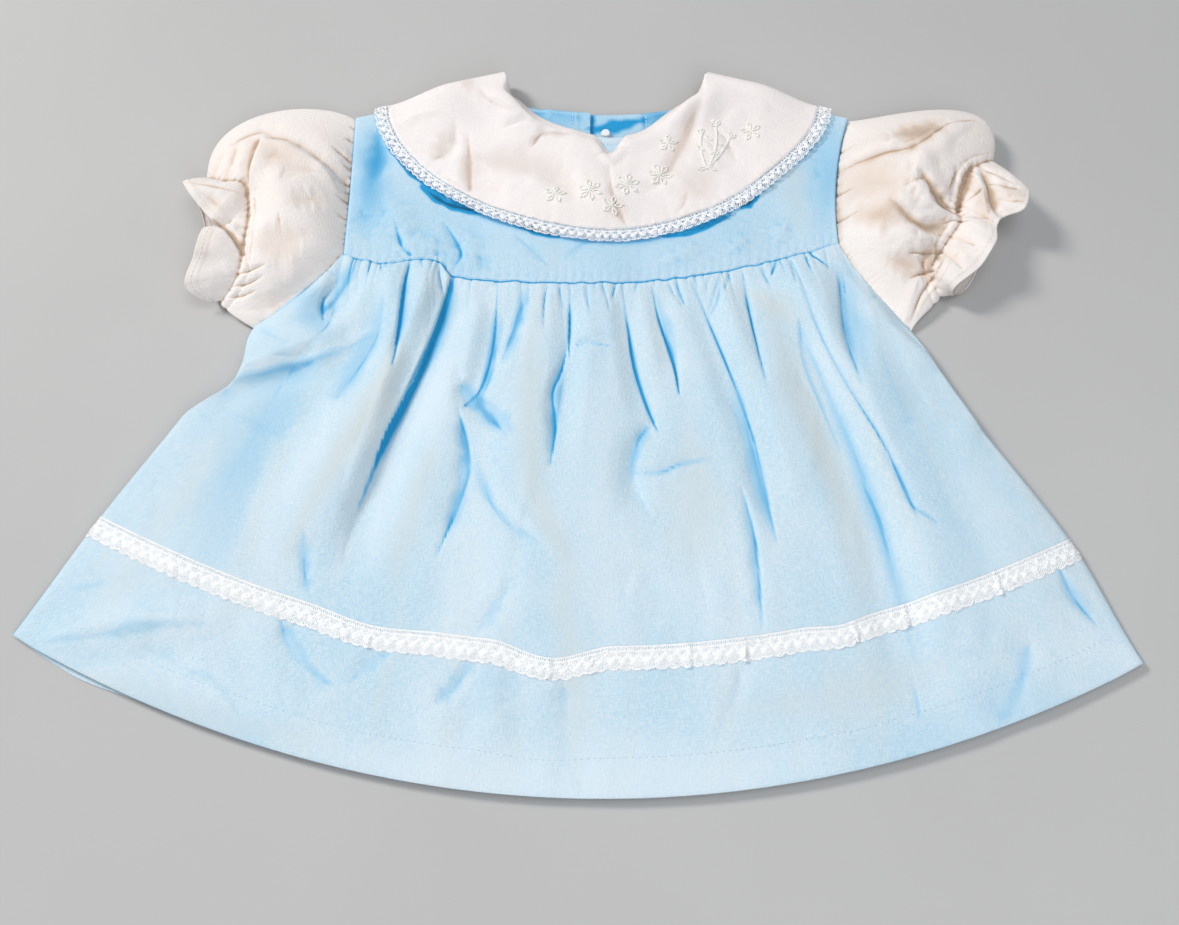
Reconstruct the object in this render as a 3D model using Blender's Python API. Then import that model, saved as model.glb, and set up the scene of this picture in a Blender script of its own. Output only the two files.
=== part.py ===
"""A child's short-sleeved dress with a round collar, lying flat on its back.

Every size is in millimetres and is turned into metres when a mesh is made.
X runs across the dress, +Y runs from the hem to the neck, and Z is up.
The origin is the middle of the outline, on the surface that the dress lies on.
"""

import math

import bmesh
import bpy
import numpy as np

MM = 0.001

# Cloth
WALL = 1.2
LACE_WALL = 0.9
GAP = 0.3
LAYER = WALL + GAP
SEED = 11

# Skirt outline
HEM_HALF = 229.0
HEM_MIDDLE_Y = -171.8
HEM_SAG = 58.0
HEM_TILT = 5.7
LEFT_SIDE_BOW = 1.6
RIGHT_SIDE_BOW = 5.0
SIDE_BOW_AT = 0.66
SIDE_BOW_REACH = 0.36
LEFT_NOTCH_DEPTH = 10.5
LEFT_NOTCH_AT = 0.19
LEFT_NOTCH_LENGTH = 0.13
BACK_HEM_PEEK = 2.6
BACK_HEM_PEEK_X = -200.0
BACK_HEM_PEEK_LENGTH = 34.0

# Yoke seam, a shallow curve that is pushed up where the deep pleat starts
SEAM_LOW_Y = 54.5
SEAM_LOW_X = -3.0
SEAM_RISE = 20.0
SEAM_REACH = 118.0
SEAM_PUSH = 6.5
SEAM_PUSH_LEFT = -92.0
SEAM_PUSH_RIGHT = -57.0
SEAM_PUSH_EASE = 7.0

# Armholes: shoulder tip, yoke corner, underarm, and how far each stretch bows inward
ARMHOLES = {
    "left": {"tip": (-109.7, 149.0), "corner": (-109.1, 72.3), "underarm": (-147.2, 33.6),
             "upper_bow": 0.4, "lower_bow": 3.7},
    "right": {"tip": (133.1, 148.7), "corner": (122.3, 76.6), "underarm": (151.5, 31.6),
              "upper_bow": 3.3, "lower_bow": 2.0},
}
SIDE_SIGN = {"left": -1.0, "right": 1.0}

# Neck and collar, as half ellipses below their own centres
NECK_X = 13.5
NECK_Y = 168.0
NECK_HALF = 48.5
NECK_DEPTH = 34.0
BACK_NECK_DEPTH = 14.0
NOTCH_X = 15.7
NOTCH_DEPTH = 12.4
NOTCH_HALF = 8.5
COLLAR_X = 12.2
COLLAR_Y = 153.0
COLLAR_HALF = 104.8
COLLAR_DEPTH = 69.3
COLLAR_BACK_DEPTH = 48.0
COLLAR_BACK_NECK_DEPTH = 18.5
COLLAR_FULLNESS = 1.7
COLLAR_LACE_WIDTH = 7.4
COLLAR_ROWS = (0.0, 0.04, 0.12, 0.32, 0.56, 0.8, 1.0)
COLLAR_ROLL_NECK = 6.2
COLLAR_ROLL_EDGE = 3.4
COLLAR_ROLL_FULL_TO = 0.45
COLLAR_ROLL_SPREAD = 1.9
COLLAR_RIGHT_INWARD = 4.0
COLLAR_RIGHT_AT = 1.82 * math.pi
COLLAR_RIGHT_REACH = 0.17 * math.pi
COLLAR_NECK_ROLL = 1.2
COLLAR_NECK_ROLL_AT = 0.12
COLLAR_NECK_ROLL_REACH = 0.14
COLLAR_STAND = 4.5
COLLAR_STAND_AT = 0.42
COLLAR_STAND_REACH = 0.42
COLLAR_STAND_WIDTH = 0.28
NECK_INWARD = 4.5
NECK_INWARD_SPREAD = 2.2
NECK_RIGHT_INWARD = 6.0
NECK_RIGHT_AT = 1.80 * math.pi
NECK_RIGHT_REACH = 0.20 * math.pi
COLLAR_FULLNESS_HEIGHT = 1.8
NECK_SEAM = 1.6
BINDING_WIDTH = 3.0

# Back opening
BACK_EDGE_UPPER_X = 5.9
BACK_EDGE_LOWER_X = -10.0
BACK_STEP = 7.0
FRONT_EASE = 26.0

# Heights
LEVEL_RISE_FROM_Y = 30.0
LEVEL_RISE_TO_Y = 52.0
SKIRT_FULLNESS = 2.8
HEM_FULLNESS_SHARE = 0.4

# Gathers under the yoke seam
GATHERS = 60
GATHER_HEIGHT = 0.85
GATHER_SEWN_HEIGHT = 0.55
GATHER_FADE = 11.0
ARMHOLE_COLUMNS = 6
ARMHOLE_SHARE = 0.125

# Lace band above the hem, measured up each fold line from the hem
HEM_LACE_TOP = 58.5
HEM_LACE_BOTTOM = 48.0

# Places where the lace sags toward the hem: share across the skirt, half width, depth
LACE_SAGS = (
    (0.47, 0.060, 5.5),
    (0.30, 0.070, 2.5),
    (0.745, 0.040, 2.0),
)

# Snap fastener on the back opening
SNAP_X = 13.5
SNAP_Y = 140.6
SNAP_RADIUS = 2.4
SNAP_HEIGHT = 1.1

# Skirt folds. A height over zero is a ridge and one under zero is a crease.
# name, start x, start y, end x, end y, bow, half width left, half width right, height
SKIRT_FOLDS = (
    ("deep pleat ridge", -68.0, 72.0, -114.0, -78.0, 3.0, 17.0, 10.0, 5.2),
    ("deep pleat crease", -57.0, 64.0, -95.0, -74.0, -1.5, 4.5, 11.0, -4.2),
    ("pleat edge", -78.5, 70.0, -80.0, 12.0, 0.0, 4.0, 6.0, -2.6),
    ("corner crease", -101.5, 73.0, -115.5, 38.0, 3.0, 6.0, 6.0, -3.6),
    ("corner ridge", -116.0, 62.0, -138.0, 28.0, 2.0, 8.0, 8.0, 2.6),
    ("left hollow", -88.0, 50.0, -107.0, -6.0, 2.0, 9.0, 9.0, -2.8),
    ("underarm ridge", -157.0, 7.0, -102.0, 26.0, 2.0, 8.0, 8.0, 3.0),
    ("underarm crease", -160.0, -2.0, -112.0, 12.0, 1.0, 6.0, 5.0, -1.8),
    ("left swell", -135.0, -18.0, -178.0, -112.0, 0.0, 26.0, 26.0, 2.6),
    ("left corner ridge", -218.0, -112.0, -150.0, -103.0, 1.5, 7.0, 7.0, 1.8),
    ("second crease", -37.0, 60.0, -44.0, -2.0, 3.0, 5.0, 6.0, -3.2),
    ("cross crease", -50.0, 6.0, -31.0, -19.0, 0.0, 6.0, 6.0, -2.0),
    ("lower crease", -47.0, -12.0, -54.0, -70.0, 4.0, 7.0, 8.0, -2.2),
    ("short crease", -24.0, 58.0, -32.0, 18.0, 0.0, 4.0, 5.0, -1.6),
    ("middle swell left", -18.0, 46.0, -24.0, -128.0, 0.0, 15.0, 17.0, 2.6),
    ("centre crease", -3.6, 56.0, -8.5, -32.0, 1.5, 4.5, 5.5, -2.2),
    ("middle swell right", 9.0, 46.0, 8.0, -112.0, 0.0, 13.0, 13.0, 1.8),
    ("right centre crease", 22.0, 54.0, 31.0, -16.0, -1.5, 5.0, 5.0, -2.4),
    ("right centre tail", 32.0, -16.0, 29.0, -58.0, -7.0, 6.0, 6.0, -1.6),
    ("fine crease", 35.5, 52.0, 44.0, 6.0, 0.0, 4.0, 4.0, -1.5),
    ("long crease", 53.5, 54.0, 83.0, -66.0, 3.0, 6.0, 7.0, -2.4),
    ("long crease ridge", 66.0, 50.0, 94.0, -60.0, 3.0, 8.0, 9.0, 1.8),
    ("right fine crease", 76.0, 60.0, 84.0, 4.0, 0.0, 5.0, 5.0, -1.5),
    ("right valley", 99.0, 36.0, 137.0, -140.0, 6.0, 11.0, 9.0, -3.6),
    ("right valley ridge", 98.0, 68.0, 152.0, -118.0, 5.0, 8.0, 14.0, 3.8),
    ("right corner crease", 121.5, 76.0, 124.0, 6.0, 0.0, 6.0, 6.0, -2.8),
    ("right underarm ridge", 137.0, 48.0, 160.0, 10.0, 0.0, 8.0, 8.0, 2.2),
    ("right swell", 168.0, -10.0, 188.0, -112.0, 0.0, 20.0, 20.0, 2.0),
    ("hem crease left", -119.0, -104.0, -99.0, -136.0, 0.0, 6.0, 6.0, -1.6),
    ("hem crease middle", -4.0, -128.0, 1.5, -172.0, 0.0, 7.0, 7.0, -1.4),
    ("hem crease right", 182.0, -112.0, 168.0, -144.0, 0.0, 6.0, 6.0, -1.2),
)

# Distances down from the yoke seam and up from the hem at which the skirt has a row of points
ROWS_UNDER_SEAM = (0.0, 2.2, 5.5, 10.5, 18.0)
ROWS_ABOVE_HEM = (HEM_LACE_TOP, 0.5 * (HEM_LACE_TOP + HEM_LACE_BOTTOM), HEM_LACE_BOTTOM, 33.0, 16.0, 0.0)
ROWS_BETWEEN = 10

# Sleeves, one row for each lengthwise line of the cloth, from the shoulder fold round the
# front to the underarm fold and back underneath.
# armhole share, front share, first third x y z, second third x y z, elastic x y z, edge x y z
SLEEVE_LINES = {
    "left": (
        (0.00, 0.5, -136.0, 154.0, 5.0, -166.0, 142.5, 6.5, -176.5, 111.0, 7.0, -186.0, 106.0, 12.0),
        (0.15, 1.0, -128.0, 130.0, 12.0, -150.0, 124.0, 15.0, -167.0, 107.0, 11.5, -179.0, 95.0, 16.0),
        (0.32, 1.0, -125.0, 108.0, 14.5, -142.0, 107.0, 17.5, -157.0, 105.0, 11.5, -169.0, 83.5, 13.5),
        (0.45, 1.0, -124.0, 90.0, 14.5, -139.0, 92.0, 17.0, -154.5, 94.0, 8.0, -164.0, 80.5, 9.0),
        (0.58, 1.0, -124.0, 74.0, 13.5, -140.0, 77.0, 16.0, -153.5, 80.0, 9.5, -171.0, 79.0, 14.0),
        (0.72, 1.0, -131.0, 61.0, 11.5, -143.0, 65.0, 14.0, -153.5, 67.0, 10.5, -173.0, 64.0, 17.0),
        (0.86, 1.0, -140.0, 49.5, 8.0, -149.0, 53.0, 9.5, -155.5, 55.5, 9.0, -175.0, 49.0, 12.5),
        (1.00, 0.5, -153.5, 37.0, 3.0, -159.0, 41.0, 3.5, -163.0, 46.0, 3.8, -168.5, 40.5, 5.0),
        (0.85, 0.0, -141.0, 50.0, 0.3, -151.0, 54.0, 0.0, -161.5, 58.0, 0.2, -170.0, 56.0, 0.6),
        (0.60, 0.0, -126.0, 74.0, 0.2, -145.0, 76.0, 0.0, -165.0, 75.0, 0.2, -174.0, 73.0, 0.8),
        (0.35, 0.0, -128.0, 104.0, 0.2, -148.0, 100.0, 0.0, -169.0, 92.0, 0.2, -177.0, 89.0, 1.2),
        (0.12, 0.0, -131.0, 134.0, 0.2, -155.0, 126.0, 0.0, -174.0, 104.0, 0.8, -180.0, 98.0, 4.0),
    ),
    "right": (
        (0.00, 0.5, 160.0, 151.5, 5.0, 192.5, 149.0, 7.5, 198.5, 120.0, 8.5, 210.0, 98.5, 16.0),
        (0.15, 1.0, 147.0, 131.0, 14.0, 170.0, 130.0, 18.0, 186.0, 112.5, 13.0, 205.5, 86.5, 17.5),
        (0.30, 1.0, 143.0, 112.0, 17.0, 163.0, 112.0, 19.5, 181.0, 104.0, 13.0, 197.5, 84.5, 15.0),
        (0.45, 1.0, 141.0, 94.0, 18.0, 160.0, 95.5, 19.0, 178.0, 94.0, 9.0, 192.5, 79.0, 16.0),
        (0.58, 1.0, 140.0, 80.0, 16.5, 158.0, 83.0, 17.0, 177.5, 84.0, 12.0, 190.0, 69.0, 18.5),
        (0.72, 1.0, 143.0, 65.5, 12.5, 156.0, 70.0, 14.0, 169.5, 72.5, 9.5, 182.0, 57.5, 15.0),
        (0.86, 1.0, 148.5, 52.0, 8.0, 156.0, 57.0, 9.5, 162.5, 60.5, 8.5, 171.5, 49.5, 11.0),
        (1.00, 0.5, 156.0, 37.5, 3.0, 161.0, 42.5, 3.5, 166.0, 48.5, 3.8, 173.0, 49.0, 4.0),
        (0.85, 0.0, 150.0, 51.0, 0.3, 158.0, 55.0, 0.0, 169.0, 60.0, 0.2, 181.0, 55.5, 0.8),
        (0.60, 0.0, 142.0, 80.0, 0.2, 160.0, 78.5, 0.0, 178.0, 77.0, 0.2, 187.5, 67.0, 1.0),
        (0.35, 0.0, 145.0, 106.0, 0.2, 166.0, 103.0, 0.0, 186.0, 96.5, 0.2, 196.0, 86.0, 1.6),
        (0.12, 0.0, 152.0, 134.0, 0.2, 178.0, 131.0, 0.0, 194.5, 111.0, 0.8, 204.0, 94.0, 6.0),
    ),
}
SLEEVE_POINTS_PER_LINE = 3
SLEEVE_RINGS = 9
RUFFLE_RINGS = 3

# Material colours, linear red green blue, and roughness
BLUE = (0.50, 0.72, 0.86)
IVORY = (0.82, 0.74, 0.68)
WHITE = (0.88, 0.87, 0.86)
CLOTH_ROUGHNESS = 0.9
SNAP_ROUGHNESS = 0.35


def smooth(value):
    """Ease from 0 to 1 with level ends."""
    value = np.clip(value, 0.0, 1.0)
    return value * value * (3.0 - 2.0 * value)


def bump(distance, half_width):
    """A soft hump, 1 in its middle and 0 past its half width."""
    return smooth(1.0 - np.abs(distance) / half_width)


def bowed(start, end, bow, share):
    """Points along a line that bows to its left by `bow` at the middle."""
    start = np.asarray(start, float)
    end = np.asarray(end, float)
    along = end - start
    left = np.array([-along[1], along[0]]) / np.hypot(*along)
    share = np.asarray(share, float)[..., None]
    return start + along * share + left * (4.0 * bow * share * (1.0 - share))


def through(points, count):
    """A smooth closed curve through rows of numbers, with `count` steps from one row to the next."""
    points = np.asarray(points, float)
    before = np.roll(points, 1, axis=0)
    after = np.roll(points, -1, axis=0)
    beyond = np.roll(points, -2, axis=0)
    rows = []
    for step in range(count):
        t = step / count
        rows.append(0.5 * (2.0 * points + (after - before) * t
                           + (2.0 * before - 5.0 * points + 4.0 * after - beyond) * t ** 2
                           + (3.0 * points - before - 3.0 * after + beyond) * t ** 3))
    return np.stack(rows, axis=1).reshape(-1, points.shape[1])


def seam_y(x, push):
    """Height on the plan of the seam between yoke and skirt, pushed up by `push` at the deep pleat."""
    curve = SEAM_LOW_Y + SEAM_RISE * ((x - SEAM_LOW_X) / SEAM_REACH) ** 2
    from_left = smooth((x - SEAM_PUSH_LEFT) / (3.0 * SEAM_PUSH_EASE))
    from_right = smooth((SEAM_PUSH_RIGHT - x) / SEAM_PUSH_EASE)
    return curve + push * from_left * from_right


def armhole(side, share):
    """Plan points on the armhole seam, from the shoulder tip at 0 to the underarm at 1."""
    hole = ARMHOLES[side]
    share = np.asarray(share, float)
    upper = math.dist(hole["tip"], hole["corner"])
    lower = math.dist(hole["corner"], hole["underarm"])
    split = upper / (upper + lower)
    inward = SIDE_SIGN[side]
    above = bowed(hole["tip"], hole["corner"], inward * -hole["upper_bow"], np.minimum(share / split, 1.0))
    below_share = np.clip((share - split) / (1.0 - split), 0.0, 1.0)
    below = bowed(hole["corner"], hole["underarm"], inward * -hole["lower_bow"], below_share)
    return np.where((share < split)[..., None], above, below)


def corner_share(side):
    """Where on the armhole seam the yoke ends and the skirt starts."""
    hole = ARMHOLES[side]
    upper = math.dist(hole["tip"], hole["corner"])
    return upper / (upper + math.dist(hole["corner"], hole["underarm"]))


def back_level(y):
    """Height of the underside of the back, which rises over the back of the collar."""
    return LAYER * smooth((y - LEVEL_RISE_FROM_Y) / (LEVEL_RISE_TO_Y - LEVEL_RISE_FROM_Y))


def overlap_share(x):
    """1 where the two back edges lie on each other, 0 away from them."""
    left = smooth((x - BACK_EDGE_LOWER_X + 1.5 * BACK_STEP) / BACK_STEP)
    right = smooth((BACK_EDGE_UPPER_X + 1.5 * BACK_STEP - x) / BACK_STEP)
    return left * right


def front_level(x, y):
    """Lowest height of the underside of the front, which swells gently over the back overlap."""
    rise = smooth((y - LEVEL_RISE_FROM_Y) / (LEVEL_RISE_TO_Y - LEVEL_RISE_FROM_Y))
    left = smooth((x - BACK_EDGE_LOWER_X + 1.5 * BACK_STEP + FRONT_EASE) / FRONT_EASE)
    right = smooth((BACK_EDGE_UPPER_X + GAP + FRONT_EASE - x) / FRONT_EASE)
    return LAYER * (1.0 + rise + rise * left * right)


def fold_height(x, y, folds):
    """Height that the table of folds adds at each plan point."""
    total = np.zeros_like(x)
    for _, x0, y0, x1, y1, bow, half_left, half_right, height in folds:
        along = np.array([x1 - x0, y1 - y0])
        length = np.hypot(*along)
        share = ((x - x0) * along[0] + (y - y0) * along[1]) / length ** 2
        offset = ((y - y0) * along[0] - (x - x0) * along[1]) / length
        inside = np.clip(share, 0.0, 1.0)
        offset = offset - 4.0 * bow * inside * (1.0 - inside)
        past_end = (share - inside) * length
        half = np.where(offset < 0.0, half_left, half_right)
        reach = np.sqrt((offset / half) ** 2 + (past_end / (0.5 * (half_left + half_right))) ** 2)
        ends = np.minimum(smooth(4.0 * inside + 0.35), smooth(3.0 * (1.0 - inside) + 0.25))
        total += height * smooth(1.0 - reach / 2.0) * ends
    return total


def skirt_top_edge(across, gap, push):
    """Upper edge of a skirt panel: left armhole, yoke seam, right armhole."""
    left_share = 1.0 - (1.0 - corner_share("left")) * across / ARMHOLE_SHARE
    left = armhole("left", np.clip(left_share, corner_share("left"), 1.0))
    right_part = (across - 1.0 + ARMHOLE_SHARE) / ARMHOLE_SHARE
    right_share = corner_share("right") + (1.0 - corner_share("right")) * np.clip(right_part, 0.0, 1.0)
    right = armhole("right", right_share)
    seam_part = np.clip((across - ARMHOLE_SHARE) / (1.0 - 2.0 * ARMHOLE_SHARE), 0.0, 1.0)
    seam_x = left_corner_x() + (right_corner_x() - left_corner_x()) * seam_part
    seam = np.stack([seam_x, seam_y(seam_x, push)], axis=-1)
    edge = np.where((across < ARMHOLE_SHARE)[..., None], left, seam)
    edge = np.where((across > 1.0 - ARMHOLE_SHARE)[..., None], right, edge)
    edge[..., 1] -= gap
    return edge


def left_corner_x():
    return ARMHOLES["left"]["corner"][0]


def right_corner_x():
    return ARMHOLES["right"]["corner"][0]


def hem_edge(across, peek):
    x = -HEM_HALF + 2.0 * HEM_HALF * across
    tilt = -HEM_TILT * x / HEM_HALF
    y = HEM_MIDDLE_Y + tilt + HEM_SAG * (x / HEM_HALF) ** 2
    return np.stack([x, y - peek * bump(x - BACK_HEM_PEEK_X, BACK_HEM_PEEK_LENGTH)], axis=-1)


def skirt_plan(across, down, push, peek):
    """Plan point of a skirt panel: across 0 to 1 from its left side, down 0 to 1 from its top."""
    top = skirt_top_edge(across, GAP, push)
    hem = hem_edge(across, peek)
    corners_top = skirt_top_edge(np.array([0.0, 1.0]), GAP, push)
    corners_hem = hem_edge(np.array([0.0, 1.0]), peek)
    left = bowed(corners_top[0], corners_hem[0], 0.0, down)
    right = bowed(corners_top[1], corners_hem[1], 0.0, down)
    outward = bump(down - SIDE_BOW_AT, SIDE_BOW_REACH)
    notch = smooth(down / LEFT_NOTCH_AT) * smooth(1.0 - (down - LEFT_NOTCH_AT) / LEFT_NOTCH_LENGTH)
    left[..., 0] += LEFT_NOTCH_DEPTH * notch - LEFT_SIDE_BOW * outward
    right[..., 0] += RIGHT_SIDE_BOW * outward
    a = across[..., None]
    d = down[..., None]
    between = (1.0 - d) * top + d * hem
    sides = (1.0 - a) * left + a * right
    ruled = ((1.0 - a) * (1.0 - d) * corners_top[0] + a * (1.0 - d) * corners_top[1]
             + (1.0 - a) * d * corners_hem[0] + a * d * corners_hem[1])
    return between + sides - ruled


def skirt_length(across):
    """Straight length of each fold line of the front skirt, from its top to its hem."""
    return np.hypot(*(skirt_top_edge(across, GAP, SEAM_PUSH) - hem_edge(across, 0.0)).T)


def gather_heights(count):
    """How far each column of the gathered edge stands over or under its mean, and how long it lasts."""
    chance = np.random.default_rng(SEED)
    size = chance.uniform(0.55, 1.25, count)
    lasting = chance.uniform(0.5, 1.7, count)
    turn = np.where(np.arange(count) % 2 == 0, 1.0, -1.0)
    return turn * size, lasting


def skirt_columns():
    """Positions across the skirt: a few on each armhole, and two for each gather on the seam."""
    armhole_part = np.linspace(0.0, ARMHOLE_SHARE, ARMHOLE_COLUMNS, endpoint=False)
    seam_part = np.linspace(ARMHOLE_SHARE, 1.0 - ARMHOLE_SHARE, 2 * GATHERS + 1)
    return np.concatenate([armhole_part, seam_part, (1.0 - armhole_part)[::-1]])


def front_skirt_height(plan, distance, turns, lasting):
    """Underside height of the front skirt: its level, fullness, folds and gathers."""
    x = plan[..., 0]
    y = plan[..., 1]
    from_hem = y - hem_edge(0.5 + 0.5 * x / HEM_HALF, 0.0)[..., 1]
    fullness = SKIRT_FULLNESS * smooth((distance + 8.0) / 40.0) * smooth((HEM_HALF - np.abs(x)) / 90.0 + 0.25)
    fullness *= HEM_FULLNESS_SHARE + (1.0 - HEM_FULLNESS_SHARE) * smooth(from_hem / 80.0)
    folds = fullness + fold_height(x, y, SKIRT_FOLDS) * smooth((distance + 6.0) / 18.0)
    sewn = GATHER_SEWN_HEIGHT + (GATHER_HEIGHT - GATHER_SEWN_HEIGHT) * smooth(distance / 4.0)
    gathers = sewn * turns * np.exp(-distance / (GATHER_FADE * lasting))
    lift = GATHER_HEIGHT * np.exp(-distance / (3.0 * GATHER_FADE))
    return front_level(x, y) + np.maximum(folds, 0.0) + 1.3 * lift + gathers


def skirt_rows(across):
    """Distances down from the top edge, one array for each row of points."""
    length = skirt_length(across)
    sag = sum(depth * bump(across - middle, half) for middle, half, depth in LACE_SAGS)
    rows = [np.full_like(across, d) for d in ROWS_UNDER_SEAM]
    first = rows[-1]
    last = length - ROWS_ABOVE_HEM[0] + sag
    for step in range(1, ROWS_BETWEEN):
        rows.append(first + (last - first) * step / ROWS_BETWEEN)
    rows += [length - d + sag * d / HEM_LACE_TOP for d in ROWS_ABOVE_HEM]
    return rows, length


def new_material(name, colour, roughness):
    material = bpy.data.materials.new(name)
    material.use_nodes = True
    shader = material.node_tree.nodes["Principled BSDF"]
    shader.inputs["Base Color"].default_value = (*colour, 1.0)
    shader.inputs["Roughness"].default_value = roughness
    shader.inputs["Metallic"].default_value = 0.0
    material.diffuse_color = (*colour, 1.0)
    return material


def strip_faces(first, second, first_share, second_share):
    """Triangles between two rows of points whose counts may differ, matched by their shares."""
    faces = []
    i = 0
    j = 0
    while i < len(first) - 1 or j < len(second) - 1:
        next_first = first_share[i + 1] if i < len(first) - 1 else math.inf
        next_second = second_share[j + 1] if j < len(second) - 1 else math.inf
        if next_first <= next_second:
            faces.append((first[i], first[i + 1], second[j]))
            i += 1
        else:
            faces.append((first[i], second[j + 1], second[j]))
            j += 1
    return faces


def add_mesh(name, points, faces, material):
    mesh = bpy.data.meshes.new(name)
    shape = bmesh.new()
    corners = [shape.verts.new(point * MM) for point in points]
    for face in faces:
        shape.faces.new([corners[index] for index in face])
    bmesh.ops.recalc_face_normals(shape, faces=shape.faces)
    shape.to_mesh(mesh)
    shape.free()
    mesh.shade_smooth()
    mesh.set_sharp_from_angle(angle=math.radians(50.0))
    mesh.materials.append(material)
    made = bpy.data.objects.new(name, mesh)
    bpy.context.scene.collection.objects.link(made)
    return made


def add_panel(name, upper_rows, lower_rows, shares, material, closed=False):
    """A wall of cloth between an upper and a lower set of rows. A closed one runs round in a ring."""
    starts = np.cumsum([0] + [len(row) for row in upper_rows])
    total = starts[-1]
    points = np.concatenate(list(upper_rows) + list(lower_rows))
    faces = []
    index_rows = [list(range(starts[k], starts[k + 1])) for k in range(len(upper_rows))]
    if closed:
        index_rows = [row + row[:1] for row in index_rows]
        shares = [np.append(share, 1.0) for share in shares]
    for k in range(len(index_rows) - 1):
        strip = strip_faces(index_rows[k], index_rows[k + 1], shares[k], shares[k + 1])
        faces += strip
        faces += [tuple(total + index for index in reversed(face)) for face in strip]
    rims = [index_rows[0], index_rows[-1][::-1]]
    if not closed:
        rims.append([row[0] for row in index_rows][::-1])
        rims.append([row[-1] for row in index_rows])
    for rim in rims:
        for a, b in zip(rim[:-1], rim[1:]):
            faces.append((b, a, total + a))
            faces.append((b, total + a, total + b))
    return add_mesh(name, points, faces, material)


def lifted(plan, height):
    return np.concatenate([plan, height[..., None]], axis=-1)


def make_front_skirt(material):
    """The gathered front panel, with its own folds and a row of points under each edge of the lace."""
    across = skirt_columns()
    turns, lasting = gather_heights(len(across))
    on_seam = (across >= ARMHOLE_SHARE) & (across <= 1.0 - ARMHOLE_SHARE)
    turns = np.where(on_seam, turns, 0.0)
    rows, length = skirt_rows(across)
    upper, lower, shares = [], [], []
    for number, distance in enumerate(rows):
        plan = skirt_plan(across, distance / length, SEAM_PUSH, 0.0)
        under = front_skirt_height(plan, distance, turns, lasting)
        keep = slice(None) if number < len(ROWS_UNDER_SEAM) else slice(None, None, 2)
        upper.append(lifted(plan, under + WALL)[keep])
        lower.append(lifted(plan, under)[keep])
        shares.append(across[keep])
    add_panel("front_skirt", upper, lower, shares, material)
    return upper, shares


def make_hem_lace(skirt_upper, skirt_shares, material):
    """The lace band, laid on the front skirt by lifting the skirt's own points."""
    first = len(ROWS_UNDER_SEAM) + ROWS_BETWEEN - 1
    lift = np.array([0.0, 0.0, GAP])
    thick = np.array([0.0, 0.0, LACE_WALL])
    rows = [skirt_upper[first + k] + lift for k in range(3)]
    add_panel("hem_lace", [row + thick for row in rows], rows, skirt_shares[first:first + 3], material)


def make_back_skirt(material):
    """The back panel, flat on its underside, which rises to the yoke seam at its top."""
    columns = 33
    across = np.linspace(0.0, 1.0, columns)
    upper, lower, shares = [], [], []
    for down in (0.0, 0.05, 0.1, 0.15, 0.22, 0.34, 0.5, 0.68, 0.84, 1.0):
        plan = skirt_plan(across, np.full(columns, down), 0.0, BACK_HEM_PEEK)
        under = back_level(plan[:, 1])
        upper.append(lifted(plan, under + WALL))
        lower.append(lifted(plan, under))
        shares.append(across)
    add_panel("back_skirt", upper, lower, shares, material)


def shoulder_y(x, side):
    """The shoulder line, straight from the armhole tip to the side of the neck."""
    tip = ARMHOLES[side]["tip"]
    neck_x = NECK_X + SIDE_SIGN[side] * (NECK_HALF + NECK_SEAM)
    share = (x - tip[0]) / (neck_x - tip[0])
    return tip[1] + (NECK_Y - NECK_SEAM - tip[1]) * share


def yoke_top_y(x, neck_depth):
    """Upper edge of a yoke: shoulder, neckline, shoulder."""
    half = NECK_HALF + NECK_SEAM
    inside = np.clip((x - NECK_X) / half, -1.0, 1.0)
    neckline = NECK_Y - NECK_SEAM - neck_depth * np.sqrt(1.0 - inside ** 2)
    shoulder = np.where(x < NECK_X, shoulder_y(x, "left"), shoulder_y(x, "right"))
    return np.where(np.abs(x - NECK_X) < half, neckline, shoulder)


def yoke_side_shift(side, up):
    """How far the armhole seam lies sideways of the yoke's corner, at a share of its height."""
    seam = armhole(side, np.array([corner_share(side) * (1.0 - up)]))
    return seam[0, 0] - ARMHOLES[side]["corner"][0]


def make_front_yoke(skirt_shares, material):
    """The flat panel over the chest, which lies under the collar."""
    seam_part = skirt_shares[(skirt_shares >= ARMHOLE_SHARE) & (skirt_shares <= 1.0 - ARMHOLE_SHARE)]
    bottom = skirt_top_edge(seam_part, 0.0, SEAM_PUSH)
    upper, lower, shares = [], [], []
    levels = (0.0, 0.14, 0.3, 0.48, 0.66, 0.84, 1.0)
    for number, up in enumerate(levels):
        keep = slice(None) if number == 0 else slice(None, None, 3)
        base = bottom[keep]
        toward_right = (base[:, 0] - left_corner_x()) / (right_corner_x() - left_corner_x())
        left_shift = yoke_side_shift("left", up)
        right_shift = yoke_side_shift("right", up)
        x = base[:, 0] + (1.0 - toward_right) ** 3 * left_shift + toward_right ** 3 * right_shift
        y = base[:, 1] + (yoke_top_y(x, NECK_DEPTH) - base[:, 1]) * up
        under = front_level(x, y)
        plan = np.stack([x, y], axis=-1)
        upper.append(lifted(plan, under + WALL))
        lower.append(lifted(plan, under))
        shares.append(seam_part[keep])
    add_panel("front_yoke", upper, lower, shares, material)


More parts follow.
